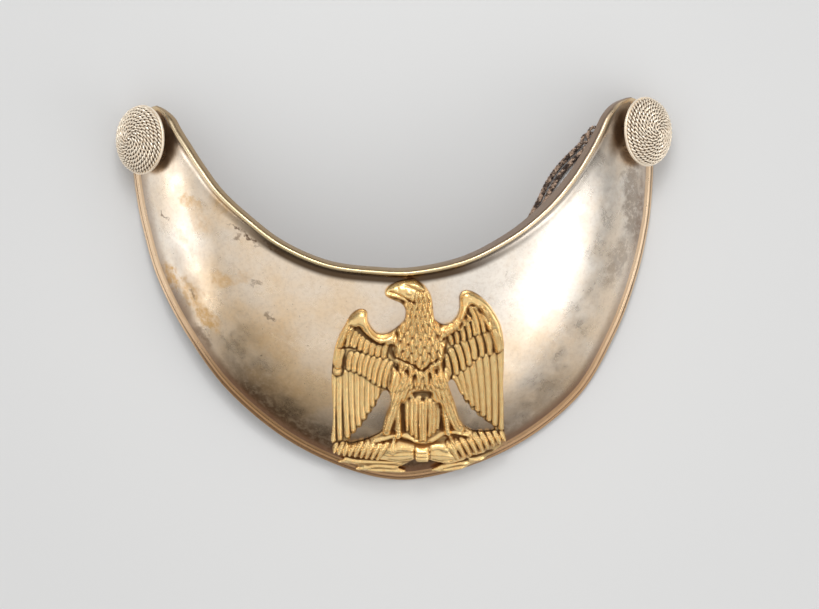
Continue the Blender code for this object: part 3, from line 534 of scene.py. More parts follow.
        (((27.5, 88.5), (32, 85.4), (35.4, 79.4)), 0.7, 0.25),
        (((-10.6, 20.6), (-16.5, 18.6), (-21, 17.4), (-24.4, 16.4)), 1.05, 0.75),
        (((-11.6, 20.4), (-13.4, 17), (-13.9, 12.4)), 0.95, 0.9),
        (((-9.4, 20.2), (-5.4, 18.8), (-1.4, 16.4)), 1.0, 0.75),
        (((14.6, 22), (20, 21.2), (26.6, 19.4)), 1.05, 0.75),
        (((14.8, 21.6), (16.4, 17.6), (18.2, 13.6)), 0.95, 0.9),
        (((13.2, 21.8), (9, 18.8), (5, 16.4)), 1.0, 0.75),
        (((-16, 13.4), (-9, 14.2), (-3, 13.2)), 0.9, 0.35),
        (((-17, 8.2), (-10, 7.4), (-3, 8.4)), 0.8, 0.35),
        (((-18, 10.6), (-10, 10.8), (-3, 10.8)), 0.8, 0.25),
        (((5.4, 13.8), (9, 14.6), (14, 13.6)), 0.9, 0.35),
        (((5.4, 8.2), (11, 7.2), (20, 7.6)), 0.8, 0.35),
        (((5.4, 10.8), (12, 10.8), (18, 9.8)), 0.8, 0.25),
        (((-42.5, 5.2), (-38, 6.6), (-32, 5.8), (-20, 5.6), (-10, 5.4)), 0.75, 0.6),
        (((-38.5, 7.3), (-36, 6.6), (-33.4, 4.6)), 0.6, 0.5),
        (((-33, 1.4), (-27, 2.4), (-22, 3.4), (-12, 2.6)), 0.7, 0.55),
        (((-29, 3.4), (-25, 1.2), (-17, 0.9), (-8, 0.2)), 0.65, 0.5),
        (((10.5, 6.9), (18, 6.7), (24, 6.9)), 0.7, 0.6),
        (((24.8, 7.6), (28, 6.7), (35, 6.9)), 0.75, 0.6),
        (((28, 10.8), (34, 10.6)), 0.7, 0.5),
        (((7, 1), (12, 2.6), (20, 4.6), (25.5, 4.4)), 0.7, 0.6),
        (((9, 0.7), (16, 1.4), (24, 2.6)), 0.6, 0.45),
    ),
    # short cross ribs: count, first centre, last centre, half length, half width, rise in mm
    "ribs": (
        (4, (1.3, 13.0), (1.3, 8.1), 3.2, 0.6, 0.75),
        (7, (-10.7, 31), (-10.8, 21.8), 1.5, 0.45, 0.35),
        (7, (12.5, 31), (14.2, 23), 1.5, 0.45, 0.35),
    ),
    # cut lines: points, half width, depth in mm
    "cuts": (
        (((-17.2, 93.7), (-15, 94.2), (-12, 93.4), (-9, 92), (-5, 89.8), (-2, 88.6)), 0.65, 0.75),
        (((-16.4, 92.2), (-13, 91), (-9.5, 89.8), (-8, 88)), 0.5, 0.5),
        (((-8.4, 97.2), (-6.6, 97.8), (-3.6, 96.4), (0, 95), (3, 94.2)), 0.5, 0.55),
        (((-7.8, 94.2), (-6, 93), (-4.2, 93.8), (-4.4, 95.6)), 0.35, 0.3),
        (((-11.6, 97), (-10.6, 95), (-10.2, 93.4)), 0.35, 0.25),
        (((-36.5, 77.4), (-33, 75.6), (-30, 73.4), (-27, 71), (-24, 69), (-20, 67.4), (-16, 69)),
         0.9, 0.8),
        (((-31, 77.5), (-30.2, 75), (-28.8, 77.4)), 0.7, 0.4),
        (((25, 88.2), (28.4, 86.6), (31, 84), (33.8, 81), (35, 77.6)), 0.9, 0.9),
        (((24, 87), (24.4, 83), (26.4, 81.4)), 0.6, 0.5),
        (((-14.6, 68), (-15, 64), (-13.4, 61.4)), 0.7, 0.5),
        (((-13.2, 60.6), (-8, 59.2), (-3.4, 57.6), (1, 54.6), (5, 58), (10.4, 60.8)), 0.95, 1.0),
        (((13, 66), (12.6, 60), (12.4, 55)), 0.6, 0.4),
        (((-13.4, 56.4), (-10, 52.6), (-8.6, 50)), 0.5, 0.4),
        (((-4, 40.6), (1, 42.2), (6.6, 40.8)), 2.2, 1.3),
        (((1.6, 41), (1.6, 37.4)), 1.6, 0.7),
        (((-7.6, 54.4), (-6.6, 53.2)), 0.9, 0.6), (((-3.4, 52), (-2.4, 50.8)), 0.9, 0.6),
        (((4.6, 53.6), (5.6, 52.4)), 0.9, 0.6), (((8, 54.6), (8.8, 53)), 0.9, 0.6),
        (((-9.4, 39), (-9.2, 33), (-8.6, 25), (-7.8, 22)), 0.9, 0.9),
        (((9.4, 38.6), (11, 34), (11.6, 28), (11.2, 23)), 0.9, 0.8),
        (((-24, 15.9), (-17, 16.9), (-14.6, 17.8)), 0.5, 0.4),
        (((-12, 18.6), (-8.6, 17), (-3.4, 16.2)), 0.5, 0.4),
        (((17, 20), (22, 19.4), (26.6, 18.4)), 0.5, 0.4),
        (((-2.6, 14.4), (-2.6, 7)), 0.5, 0.5),
        (((4.9, 14.4), (4.9, 7)), 0.5, 0.5),
        (((-38, 8.2), (-30, 7), (-20, 6.6), (-8, 6.4)), 0.5, 0.7),
        (((8, 6), (20, 5.6), (30, 8.8), (38, 11.6)), 0.5, 0.6),
    ),
    "grooveWidth": 0.2, "leastGroove": 0.38, "grooveDepth": 0.62, "unevenness": 0.22,
    "blur": 2, "cavityReach": 5, "massRoundness": 0.9, "rootLift": 0.35, "edgeLift": 0.15,
    "leastRelief": 0.35, "seed": 4, "widths": (0.93, 1.07),
    # how ridges and cuts fade at their two ends: slope, and what is left there
    "ridgeEnds": (6, 0.35), "cutEnds": (8, 0.2),
}


def blurred(field, times):
    for _ in range(times):
        for axis in (0, 1):
            field = (np.roll(field, 1, axis) + 2 * field + np.roll(field, -1, axis)) / 4
    return field


def rounded(loop):
    # corners cut off a few times, which rounds them
    points, share = np.array(loop, float), eagle["cornerShare"]
    for _ in range(eagle["cornerCuts"]):
        after = np.roll(points, -1, 0)
        points = np.stack([(1 - share) * points + share * after,
                           share * points + (1 - share) * after], 1)
        points = points.reshape(-1, 2)
    return points


def outlineField(x, y, loops):
    # distance inside the outline, negative outside, and the nearest point of it
    away = np.full(x.shape, 1e9)
    nearX, nearY = np.zeros(x.shape), np.zeros(x.shape)
    crossings = np.zeros(x.shape, int)
    for loop in loops:
        for (ax, ay), (bx, by) in zip(loop, np.roll(loop, -1, 0)):
            dx, dy = bx - ax, by - ay
            t = np.clip(((x - ax) * dx + (y - ay) * dy) / (dx * dx + dy * dy), 0, 1)
            px, py = ax + t * dx, ay + t * dy
            distance = np.hypot(x - px, y - py)
            closer = distance < away
            away[closer] = distance[closer]
            nearX[closer], nearY[closer] = px[closer], py[closer]
            if abs(dy) > 1e-9:
                crossings += ((ay > y) != (by > y)) & (x < ax + (y - ay) / dy * dx)
    return np.where(crossings % 2, away, -away), nearX, nearY


def spineField(x, y, spine):
    # share along a bent line, signed distance from it and plain distance from it
    best = np.full(x.shape, 1e9)
    share, side = np.zeros(x.shape), np.zeros(x.shape)
    lengths = np.linalg.norm(np.diff(spine, axis=0), axis=1)
    done = 0.0
    for a, b, length in zip(spine, spine[1:], lengths):
        d = (b - a) / length
        t = np.clip((x - a[0]) * d[0] + (y - a[1]) * d[1], 0, length)
        distance = np.hypot(x - a[0] - t * d[0], y - a[1] - t * d[1])
        closer = distance < best
        best[closer] = distance[closer]
        share[closer] = ((done + t) / lengths.sum())[closer]
        side[closer] = ((x - a[0]) * d[1] - (y - a[1]) * d[0])[closer]
        done += length
    return share, side, best


def bentSpine(root, tip, bow, halfWidth):
    root, tip = np.array(root, float), np.array(tip, float)
    length = np.linalg.norm(tip - root)
    tip = tip - (tip - root) / length * min(halfWidth, 0.4 * length)
    middle = (root + tip) / 2 + bow * np.array([tip[1] - root[1], root[0] - tip[0]])
    t = np.linspace(0, 1, 7)[:, None]
    return (1 - t)**2 * root + 2 * t * (1 - t) * middle + t**2 * tip


def domed(across):
    return np.sqrt(np.clip(1 - across**2, 0, 1))


def tapered(share, slope, least):
    # 1 along the middle of a line, falling to the least at its two ends
    return np.clip(np.minimum(share, 1 - share) * slope + least, 0, 1)


def makeRelief(x, y):
    # height of the relief in mm and the feather pattern, on a grid of places
    base = np.full(x.shape, eagle["base"])
    for chain in eagle["masses"]:
        for a, b in zip(chain, chain[1:]):
            share, _, away = spineField(x, y, np.array([a[:2], b[:2]], float))
            radius = a[2] + (b[2] - a[2]) * share
            height = a[3] + (b[3] - a[3]) * share
            crown = np.sqrt(np.clip(1 - eagle["massRoundness"] * (away / radius)**2, 0, 1))
            base = np.maximum(base, np.where(away < radius, height * crown, 0))
    base = blurred(base, eagle["blur"])
    relief = base.copy()
    chance = np.random.default_rng(eagle["seed"])
    barbAlong, barbAcross = np.zeros(x.shape), np.zeros(x.shape)
    x0, y0, pitch = x[0, 0], y[0, 0], eagle["pitch"]

    def near(points, reach):
        # the part of the grid round some points
        low, high = np.min(points, 0) - reach, np.max(points, 0) + reach
        rows = slice(max(0, int((low[1] - y0) / pitch)), max(1, int((high[1] - y0) / pitch) + 2))
        columns = slice(max(0, int((low[0] - x0) / pitch)), int((high[0] - x0) / pitch) + 2)
        return rows, columns

    for values in eagle["rows"]:
        row = dict(zip(eagle["rowColumns"], values))
        roots = smoothThrough(row["roots"], max(row["count"], 2))
        tips = smoothThrough(row["tips"], max(row["count"], 2))
        for root, tip in list(zip(roots, tips))[:row["count"]]:
            tip = tip + chance.uniform(-1, 1, 2) * eagle["unevenness"]
            halfWidth = row["halfWidth"] * chance.uniform(*eagle["widths"])
            spine = bentSpine(root, tip, row["bow"], halfWidth)
            spot = near(spine, 1.6 * halfWidth)
            share, side, away = spineField(x[spot], y[spot], spine)
            across = away / (halfWidth * (1 - row["point"] * share**2))
            crown = domed(across)
            lift = row["lift"] * (eagle["rootLift"] + (1 - eagle["rootLift"]) * share)
            painted = base[spot] + lift * (eagle["edgeLift"] + (1 - eagle["edgeLift"]) * crown)
            covered = across < 1
            relief[spot] = np.where(covered, painted, relief[spot])
            grooveWidth = max(eagle["grooveWidth"], eagle["leastGroove"] / halfWidth)
            edge = np.exp(-((across - 1) / grooveWidth)**2)
            relief[spot] -= eagle["grooveDepth"] * row["lift"] * edge * (0.5 + 0.5 * share)
            length = np.linalg.norm(tip - root)
            barbAlong[spot] = np.where(covered, share * length, barbAlong[spot])
            barbAcross[spot] = np.where(covered, side, barbAcross[spot])
    for points, halfWidth, rise in eagle["ridges"]:
        spine = smoothThrough(points, 4 * len(points))
        spot = near(spine, halfWidth)
        share, _, away = spineField(x[spot], y[spot], spine)
        ends = tapered(share, *eagle["ridgeEnds"])
        raised = base[spot] + rise * domed(away / halfWidth) * ends
        relief[spot] = np.where(away < halfWidth, np.maximum(relief[spot], raised), relief[spot])
    for count, first, last, halfLength, halfWidth, rise in eagle["ribs"]:
        for k in range(count):
            centre = np.array(first) + (np.array(last) - first) * k / (count - 1)
            spine = np.array([centre - (halfLength, 0), centre + (halfLength, 0)])
            spot = near(spine, halfWidth)
            away = spineField(x[spot], y[spot], spine)[2]
            raised = base[spot] + rise * domed(away / halfWidth)
            relief[spot] = np.maximum(relief[spot], raised)
    for points, halfWidth, depth in eagle["cuts"]:
        spine = smoothThrough(points, 4 * len(points))
        spot = near(spine, 2 * halfWidth)
        share, _, away = spineField(x[spot], y[spot], spine)
        ends = tapered(share, *eagle["cutEnds"])
        relief[spot] -= depth * ends * np.exp(-(away / halfWidth)**2)
    relief = np.maximum(blurred(relief, 1), eagle["leastRelief"])
    return relief, barbAlong, barbAcross


def makeEagle(surface, look):
    pitch, unit = eagle["pitch"], eagle["unit"]
    loops = [rounded(loop) for loop in (eagle["outline"], *eagle["gaps"])]
    low, high = loops[0].min(0) - 2 * pitch, loops[0].max(0) + 2 * pitch
    columns, rows = [int(n) for n in (high - low) / pitch]
    bpy.ops.mesh.primitive_grid_add(x_subdivisions=columns - 1, y_subdivisions=rows - 1, size=1)
    cast = bpy.context.object
    start = getPoints(cast.data) + 0.5
    column = np.rint(start[:, 0] * (columns - 1)).astype(int)
    row = np.rint(start[:, 1] * (rows - 1)).astype(int)
    x, y = np.meshgrid(low[0] + pitch * np.arange(columns), low[1] + pitch * np.arange(rows))
    relief, barbAlong, barbAcross = makeRelief(x, y)
    inside, nearX, nearY = outlineField(x, y, loops)
    rim = np.clip(inside / eagle["rimWidth"], 0, 1)
    rim = eagle["rimShare"] + (1 - eagle["rimShare"]) * np.sqrt(1 - (1 - rim)**2)
    # how far the relief lies below its blurred surroundings, which the gilt paints as shade in
    # creases
    cavity = blurred(relief, 4 * eagle["cavityReach"]) - relief
    # cells whose middle is inside stay, and their outer corners move onto the outline
    middle = (inside[:-1, :-1] + inside[1:, :-1] + inside[:-1, 1:] + inside[1:, 1:]) / 4 > 0
    kept = np.zeros((rows + 1, columns + 1), bool)
    kept[1:-1, 1:-1] = middle
    used = kept[:-1, :-1] | kept[1:, :-1] | kept[:-1, 1:] | kept[1:, 1:]
    full = kept[:-1, :-1] & kept[1:, :-1] & kept[:-1, 1:] & kept[1:, 1:]
    border = used & ~full
    x, y = np.where(border, nearX, x), np.where(border, nearY, y)
    rim = np.where(border, eagle["rimShare"], rim)
    placeX = eagle["foot"][0] + x * unit
    placeY = eagle["foot"][1] + y * unit
    normal = formNormal(placeX, placeY)
    seat = formHeight(placeX, placeY)
    for j, i in np.argwhere(used):
        hit = surface.ray_cast(Vector((placeX[j, i], placeY[j, i], 200)), Vector((0, 0, -1)))
        if hit[0] is not None:
            seat[j, i] = hit[0].z
    bottom = np.stack([placeX, placeY, seat], -1) + normal * eagle["gap"]
    top = bottom + normal * (relief * rim)[..., None]
    setPoints(cast.data, bottom[row, column] * mm)
    for name, field in (("cavity", cavity), ("barbAlong", barbAlong), ("barbAcross", barbAcross),
                        ("reliefHeight", relief), ("column", column), ("row", row)):
        values = field if field.ndim == 1 else field[row, column]
        setAttribute(cast.data, name, values)
    corner = faceCorner(cast.data)
    bpy.ops.object.mode_set(mode="EDIT")
    bpy.ops.mesh.select_mode(type="FACE")
    bpy.ops.mesh.select_all(action="DESELECT")
    bpy.ops.object.mode_set(mode="OBJECT")
    cast.data.polygons.foreach_set("select", ~middle[row[corner], column[corner]])
    bpy.ops.object.mode_set(mode="EDIT")
    bpy.ops.mesh.delete(type="FACE")
    bpy.ops.mesh.select_all(action="SELECT")
    bpy.ops.mesh.extrude_region_move()
    bpy.ops.object.mode_set(mode="OBJECT")
    count = len(cast.data.vertices)
    chosen = np.zeros(count, bool)
    cast.data.vertices.foreach_get("select", chosen)
    column, row = readBack(cast.data, "column"), readBack(cast.data, "row")
    points = getPoints(cast.data)
    points[chosen] = top[row[chosen], column[chosen]] * mm
    setPoints(cast.data, points)
    bpy.ops.object.mode_set(mode="EDIT")
    bpy.ops.mesh.select_all(action="SELECT")
    bpy.ops.mesh.normals_make_consistent(inside=False)
    bpy.ops.object.mode_set(mode="OBJECT")
    for name in ("column", "row"):
        cast.data.attributes.remove(cast.data.attributes[name])
    finishPiece(cast, "gilt_eagle", look, smooth=75)
    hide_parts("eagle_badge")
    print("eagle done:", len(cast.data.polygons), "faces")


def faceCorner(mesh):
    # the lowest-numbered corner of every face, which is its first corner on the grid
    corners = np.zeros(len(mesh.loops), np.int32)
    mesh.loops.foreach_get("vertex_index", corners)
    return corners.reshape(-1, 4).min(1)


def readBack(mesh, name):
    values = np.zeros(len(mesh.vertices), np.float32)
    mesh.attributes[name].data.foreach_get("value", values)
    return np.rint(values).astype(int)


# Buttons and posts
button = {
    "radius": 9.6, "dome": 5.2, "rim": 0.8, "stand": 2.2, "turns": 10.2, "ropeRadius": 0.52,
    "strandRadius": 0.27, "strandReach": 0.3, "twist": 2.3, "step": 0.2, "domeSteps": 400,
    "spiralSteps": 6000, "spiralStart": 0.012, "every": 6,
    # the core lies inside the rope and is cut off flat, and the rim has a soft edge
    "inset": 0.75, "coreDrop": 0.6, "coreCut": 0.4, "softEdge": 0.25, "rimBand": 0.35,
    "rimProud": 0.5, "wornEdge": 0.2, "coreSides": 64, "coreRings": 24, "rimSides": 96,
    "postSides": 48,
    "wall": 1.0, "gap": 0.3, "postRadius": 1.9, "headRadius": 2.8, "head": 0.8, "behind": 4.2,
    # where each post meets the face of the plate, and the way it points
    "leftFoot": (-67.559, 40.941, 8.714), "leftAxis": (-0.736295, 0.003116, 0.676653),
    "rightFoot": (67.590, 43.167, 8.353), "rightAxis": (0.751394, 0.021139, 0.659515),
}


def turnTo(direction):
    return Vector(direction).to_track_quat("Z", "Y").to_euler()


def buttonFoot(side):
    return np.array(button[side + "Foot"]), np.array(button[side + "Axis"])


def tube(name, points, radius):
    bpy.ops.curve.primitive_nurbs_path_add(location=(0, 0, 0))
    line = bpy.context.object
    line.name = name
    line.data.splines.clear()
    spline = line.data.splines.new("POLY")
    spline.points.add(len(points) - 1)
    flat = np.c_[np.asarray(points), np.ones(len(points))]
    spline.points.foreach_set("co", flat.ravel())
    line.data.bevel_depth = radius
    line.data.bevel_resolution = 1
    line.data.use_fill_caps = True
    return line


def strandsAlong(path, count, reach, radius, twist, name, flat=False):
    # strands with capped ends, laid round a path: a twist, or a flat plait
    path = np.asarray(path, float)
    tangent = np.gradient(path, axis=0)
    tangent /= np.linalg.norm(tangent, axis=1, keepdims=True)
    side = np.cross(tangent, (0, 0, 1.0))
    side /= np.maximum(np.linalg.norm(side, axis=1, keepdims=True), 1e-6)
    up = np.cross(side, tangent)
    along = np.r_[0, np.cumsum(np.linalg.norm(np.diff(path, axis=0), axis=1))]
    made = []
    for k in range(count):
        phase = 2 * math.pi * (along / twist + k / count)
        if flat:
            offset = side * np.sin(phase)[:, None] * reach
            offset = offset + up * np.sin(2 * phase)[:, None] * 0.5 * reach
        else:
            offset = (side * np.cos(phase)[:, None] + up * np.sin(phase)[:, None]) * reach
        strand = pick(tube(f"{name}_{k}", (path + offset) * mm, radius * mm))
        bpy.ops.object.convert(target="MESH")
        made.append(strand)
    return made


def domeRope():
    # the spiral that the rope follows over the dome, from its middle outwards
    inner = button["radius"] - button["inset"]
    rise = button["dome"] - button["rim"] - button["ropeRadius"]
    turn = np.linspace(0, math.pi / 2, button["domeSteps"])
    outline = np.stack([inner * np.sin(turn), button["rim"] + rise * np.cos(turn)], 1)
    arc = np.r_[0, np.cumsum(np.linalg.norm(np.diff(outline, axis=0), axis=1))]
    share = np.linspace(button["spiralStart"], 1, button["spiralSteps"])
    radius = np.interp(share * arc[-1], arc, outline[:, 0])
    height = np.interp(share * arc[-1], arc, outline[:, 1])
    angle = -2 * math.pi * button["turns"] * share
    spiral = np.stack([radius * np.cos(angle), radius * np.sin(angle), height], 1)
    length = np.linalg.norm(np.diff(spiral, axis=0), axis=1).sum()
    return smoothThrough(spiral[::button["every"]], int(length / button["step"]))


def makeButton(side, look):
    foot, direction = buttonFoot(side)
    strands = strandsAlong(domeRope(), 2, button["strandReach"], button["strandRadius"],
                           button["twist"], side + "_strand")
    inner = button["radius"] - button["inset"]
    coreRise = button["dome"] - button["rim"] - button["coreDrop"]
    bpy.ops.mesh.primitive_uv_sphere_add(segments=button["coreSides"],
                                         ring_count=button["coreRings"], radius=1)
    core = bpy.context.object
    core.scale = [s * mm for s in (inner, inner, coreRise)]
    core.location = (0, 0, button["rim"] * mm)
    bpy.ops.object.transform_apply(location=True, rotation=False, scale=True)
    bpy.ops.object.mode_set(mode="EDIT")
    bpy.ops.mesh.select_all(action="SELECT")
    bpy.ops.mesh.bisect(plane_co=(0, 0, button["coreCut"] * mm), plane_no=(0, 0, 1),
                        use_fill=True, clear_inner=True)
    bpy.ops.object.mode_set(mode="OBJECT")
    bpy.ops.mesh.primitive_cylinder_add(vertices=button["rimSides"],
                                        radius=button["radius"] * mm,
                                        depth=button["rim"] * mm,
                                        location=(0, 0, button["rim"] * mm / 2))
    rim = bpy.context.object
    softenEdges(rim, button["softEdge"])
    whole = joinPieces([core, rim, *strands], side + "_button")
    points = getPoints(whole.data) / mm
    rise = button["dome"] - button["rim"] - button["ropeRadius"]
    place = np.stack([points[:, 0], points[:, 1], points[:, 2] - button["rim"]], 1)
    reach = np.linalg.norm(place / (inner, inner, rise), axis=1)
    # how far a point stands out of the core's shape; the rope look paints shade where it is low
    proud = (reach - 1) / np.maximum(reach, 0.1) * np.linalg.norm(place, axis=1)
    atRim = np.hypot(points[:, 0], points[:, 1]) > button["radius"] - button["rimBand"]
    # the rim takes the colour of the rope's crests, free of the painted shade in the gaps
    proud[atRim] = button["rimProud"]
    setAttribute(whole.data, "proud", proud * mm)
    whole.location = (foot + direction * button["stand"]) * mm
    whole.rotation_euler = turnTo(direction)
    name = side + "_rope_button"
    finishPiece(whole, name, look, smooth=50)
    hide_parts(side + "_button")
    print(name, "done:", len(whole.data.polygons), "faces")


def makePost(side, look):
    foot, direction = buttonFoot(side)
    back = button["wall"] + button["behind"]
    top = button["stand"] - button["gap"]
    pieces = []
    for radius, low, high in ((button["postRadius"], -back, top),
                              (button["headRadius"], -back - button["head"], -back)):
        bpy.ops.mesh.primitive_cylinder_add(vertices=button["postSides"], radius=radius * mm,
                                            depth=(high - low) * mm,
                                            location=(0, 0, (low + high) / 2 * mm))
        bar = bpy.context.object
        softenEdges(bar, button["wornEdge"])
        pieces.append(bar)
    union = pieces[0].modifiers.new("oneRivet", "BOOLEAN")
    union.operation, union.object = "UNION", pieces[1]
    applyModifiers(pieces[0])
    bpy.data.objects.remove(pieces[1])
    whole = pieces[0]
    whole.location = foot * mm
    whole.rotation_euler = turnTo(direction)
    finishPiece(whole, side + "_rivet", look)
    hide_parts(side + "_post")


# Cord
cord = {
    "diameter": 1.4, "hitchTurns": 1.2, "hitchPitch": 1.9, "hitchStart": 200,
    "hitchSteps": 13, "roughSteps": 400,
    "strandRadius": 0.34, "strandReach": 0.38, "plait": 3.8, "step": 0.22,
    "lead": ((62.3, 46.6, 5.2), (60.3, 46.3, 3.5), (58.7, 45.6, 2.3), (56.9, 44.3, 1.9)),
    "bight": (
        (52.2, 40.6, 1.6), (50.7, 39.0, 0.95), (47.9, 36.3, 0.72), (44.9, 32.9, 0.72),
        (42.3, 28.9, 0.72), (40.3, 24.7, 0.72), (38.3, 20.9, 0.72), (36.7, 17.6, 0.72),
        (36.4, 14.5, 0.72), (38.5, 12.2, 0.72), (41.3, 13.1, 0.72), (41.9, 15.9, 0.72),
        (40.7, 18.4, 0.72), (40.1, 20.7, 0.72), (41.8, 24.1, 0.72), (43.8, 28.1, 0.72),
        (46.2, 31.8, 0.72), (49.2, 35.2, 0.72), (52.0, 37.8, 0.95), (53.4, 39.4, 1.6),
    ),
    "knotPlace": (54.7, 42.1, 1.65), "knotHeading": (0.68, 0.73, 0),
    "knotSize": (0.98, 0.8, 0.5), "knotDepth": 1.6, "knotSteps": 160, "knotReach": 0.24,
    "knotRadius": 0.3, "knotTwist": 1.6,
}


def lineLength(points):
    return float(np.linalg.norm(np.diff(points, axis=0), axis=1).sum())


def hitchPoints():
    # the cord's turn round the right post, just behind the plate
    foot, direction = buttonFoot("right")
    across = np.cross(direction, (0, 1, 0))
    across /= np.linalg.norm(across)
    upward = np.cross(direction, across)
    radius = button["postRadius"] + button["gap"] + cord["diameter"] / 2
    points = []
    for share in np.linspace(0, 1, cord["hitchSteps"]):
        turned = cord["hitchTurns"] * share
        angle = math.radians(cord["hitchStart"]) + 2 * math.pi * turned
        depth = button["wall"] + button["gap"] + cord["diameter"] / 2
        depth += cord["hitchPitch"] * turned
        around = across * math.cos(angle) + upward * math.sin(angle)
        points.append(foot - direction * depth + around * radius)
    return points


def makeKnot(look):
    # a trefoil knot of two strands
    t = np.linspace(0, 2 * math.pi, cord["knotSteps"], endpoint=False)
    loop = np.stack([np.sin(t) + 2 * np.sin(2 * t), np.cos(t) - 2 * np.cos(2 * t),
                     -cord["knotDepth"] * np.sin(3 * t)], 1)
    loop *= np.array(cord["knotSize"])
    strands = strandsAlong(np.vstack([loop, loop[:1]]), 2, cord["knotReach"],
                           cord["knotRadius"], cord["knotTwist"], "knot")
    whole = joinPieces(strands, "knot")
    whole.location = [v * mm for v in cord["knotPlace"]]
    whole.rotation_euler = Vector(cord["knotHeading"]).to_track_quat("X", "Z").to_euler()
    finishPiece(whole, "braid_knot", look, smooth=60)
    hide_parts("cord_knot")
    return whole


def makeCordRun(name, node, route, look):
    count = int(lineLength(smoothThrough(route, cord["roughSteps"])) / cord["step"])
    path = smoothThrough(route, count)
    strands = strandsAlong(path, 3, cord["strandReach"], cord["strandRadius"], cord["plait"],
                           name, flat=True)
    whole = joinPieces(strands, name)
    finishPiece(whole, name, look, smooth=60)
    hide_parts(node)
    print(name, "is", round(lineLength(path), 1), "mm long")


def makeCord(look):
    knot = makeKnot(look)
    lead = [tuple(p) for p in hitchPoints()] + list(cord["lead"])
    makeCordRun("braid_lead", "cord_lead", lead, look)
    makeCordRun("braid_bight", "cord_bight", cord["bight"], look)


# Looks
# stains on the plate, and painted shade and reflection: centre x and y, half length and half
# width in mm, turn in degrees, strength
stainsAndShade = {
    "brass": (
        (-61.5, 3.5, 5.0, 2.2, -62, 0.9), (-51.5, -8.0, 6.0, 2.4, -50, 0.9),
        (-46, 23.5, 5.5, 3.4, -35, 0.55), (-55, 23.5, 4.4, 2.0, -20, 0.6),
        (-47, 2, 4.2, 2.4, 0, 0.6), (-36.5, -25, 7.0, 3.4, -40, 0.35),
        (-33, -14, 9.0, 6.0, -20, 0.3), (-41.5, 3.0, 4.0, 2.0, 10, 0.35),
        (42, 36, 5.0, 2.5, 60, 0.2), (44, -14, 12.0, 6.0, 50, 0.16),
        (-52.5, 18, 5.0, 2.4, -50, 0.35), (-29, -27, 8.0, 3.0, -30, 0.3),
        (-56.0, -1.0, 5.5, 2.6, -55, 0.7), (-58.0, 14.0, 3.0, 1.2, -60, 0.3),
    ),
    # tarnish, and painted shade for the buttons' shadow and reflection and the dark bottom
    # reflection
    "tarnishAndShade": (
        (-62.4, 43.0, 4.4, 10.0, 14, 0.85), (62.4, 43.6, 2.9, 9.0, -16, 0.85),
        (-64.0, 35.0, 4.6, 3.2, 35, 0.75), (65.2, 35.8, 4.5, 1.8, -38, 0.6),
        (8.0, -49.0, 11.0, 3.6, 0, 0.9), (7.0, -38.0, 17.0, 10.0, 0, 0.6),
        (-9.0, -46.0, 16.0, 6.0, -12, 0.75), (24.0, -42.0, 12.0, 5.0, 24, 0.6),
        (7.0, -25.0, 17.0, 22.0, 0, 0.28), (-58.5, -4.5, 7.0, 3.0, -62, 0.55),
        (-49, -16, 8.0, 3.4, -50, 0.25), (-28, -40, 11.0, 3.6, -36, 0.85),
        (-57, 5, 2.6, 9.0, 28, 0.25),
    ),
    # dark: scratches and marks; the last two, at the right side, are painted dark reflection
    "dark": (
        (-40.3, 14.5, 6.2, 0.42, -37, 0.95), (-32.2, 11.0, 3.6, 0.5, -32, 0.95),
        (-42.6, 13.6, 1.6, 0.9, 30, 0.6), (-63.5, 20.4, 1.7, 0.5, -60, 0.7),
        (-55.5, -1.2, 2.4, 0.8, -55, 0.6), (-53, -13, 4.5, 1.4, -52, 0.6),
        (-45, -20, 3.5, 2.0, -40, 0.2), (-34, -8, 1.6, 0.6, -30, 0.6),
        (-37.6, 1.2, 1.8, 0.7, -20, 0.5), (13, 8, 0.7, 0.35, 20, 0.4),
        (30.5, 4, 0.25, 1.6, 0, 0.3), (-20, 8.5, 9.0, 1.4, -14, 0.4),
        (66.0, 24, 3.4, 15.0, 2, 0.62), (61.6, 8.0, 3.0, 10.0, -24, 0.45),
    ),
}


def spotGroup():
    # one soft-edged spot: 1 at its centre, 0 outside
    group, given, result = newGroup("softSpot", ("Place", "Centre", "Turn", "Size"))
    mapping = addNode(group, "ShaderNodeMapping", vector_type="TEXTURE", Vector=given["Place"],
                      Location=given["Centre"], Rotation=given["Turn"], Scale=given["Size"])
    length = vectorMaths(group, "LENGTH", mapping.outputs["Vector"])
    group.links.new(ramp(group, length.outputs["Value"], 1.15, 0.45), result)
    return group


def spotsMask(tree, group, place, spots):
    total = None
    for x, y, long, wide, turn, strength in spots:
        node = addNode(tree, "ShaderNodeGroup", node_tree=group, Place=place,
                       Centre=(x * mm, y * mm, 0), Turn=(0, 0, math.radians(turn)),
                       Size=(long * mm, wide * mm, 1))
        value = product(tree, node.outputs["Mask"], strength)
        total = value if total is None else maths(tree, "MAXIMUM", total, value)
    return total


def inPlan(tree, place, scale, reach):
    # the place in plan, pushed about by noise, which makes edges ragged
    push = addNode(tree, "ShaderNodeTexNoise", Vector=place, Scale=scale, Detail=4.0,
                   Roughness=0.65)
    shift = vectorMaths(tree, "SUBTRACT", push.outputs["Color"], (0.5, 0.5, 0.5))
    shift = vectorMaths(tree, "SCALE", shift.outputs["Vector"], Scale=reach)
    pushed = vectorMaths(tree, "ADD", place, shift.outputs["Vector"])
    return vectorMaths(tree, "MULTIPLY", pushed.outputs["Vector"], (1, 1, 0)).outputs["Vector"]
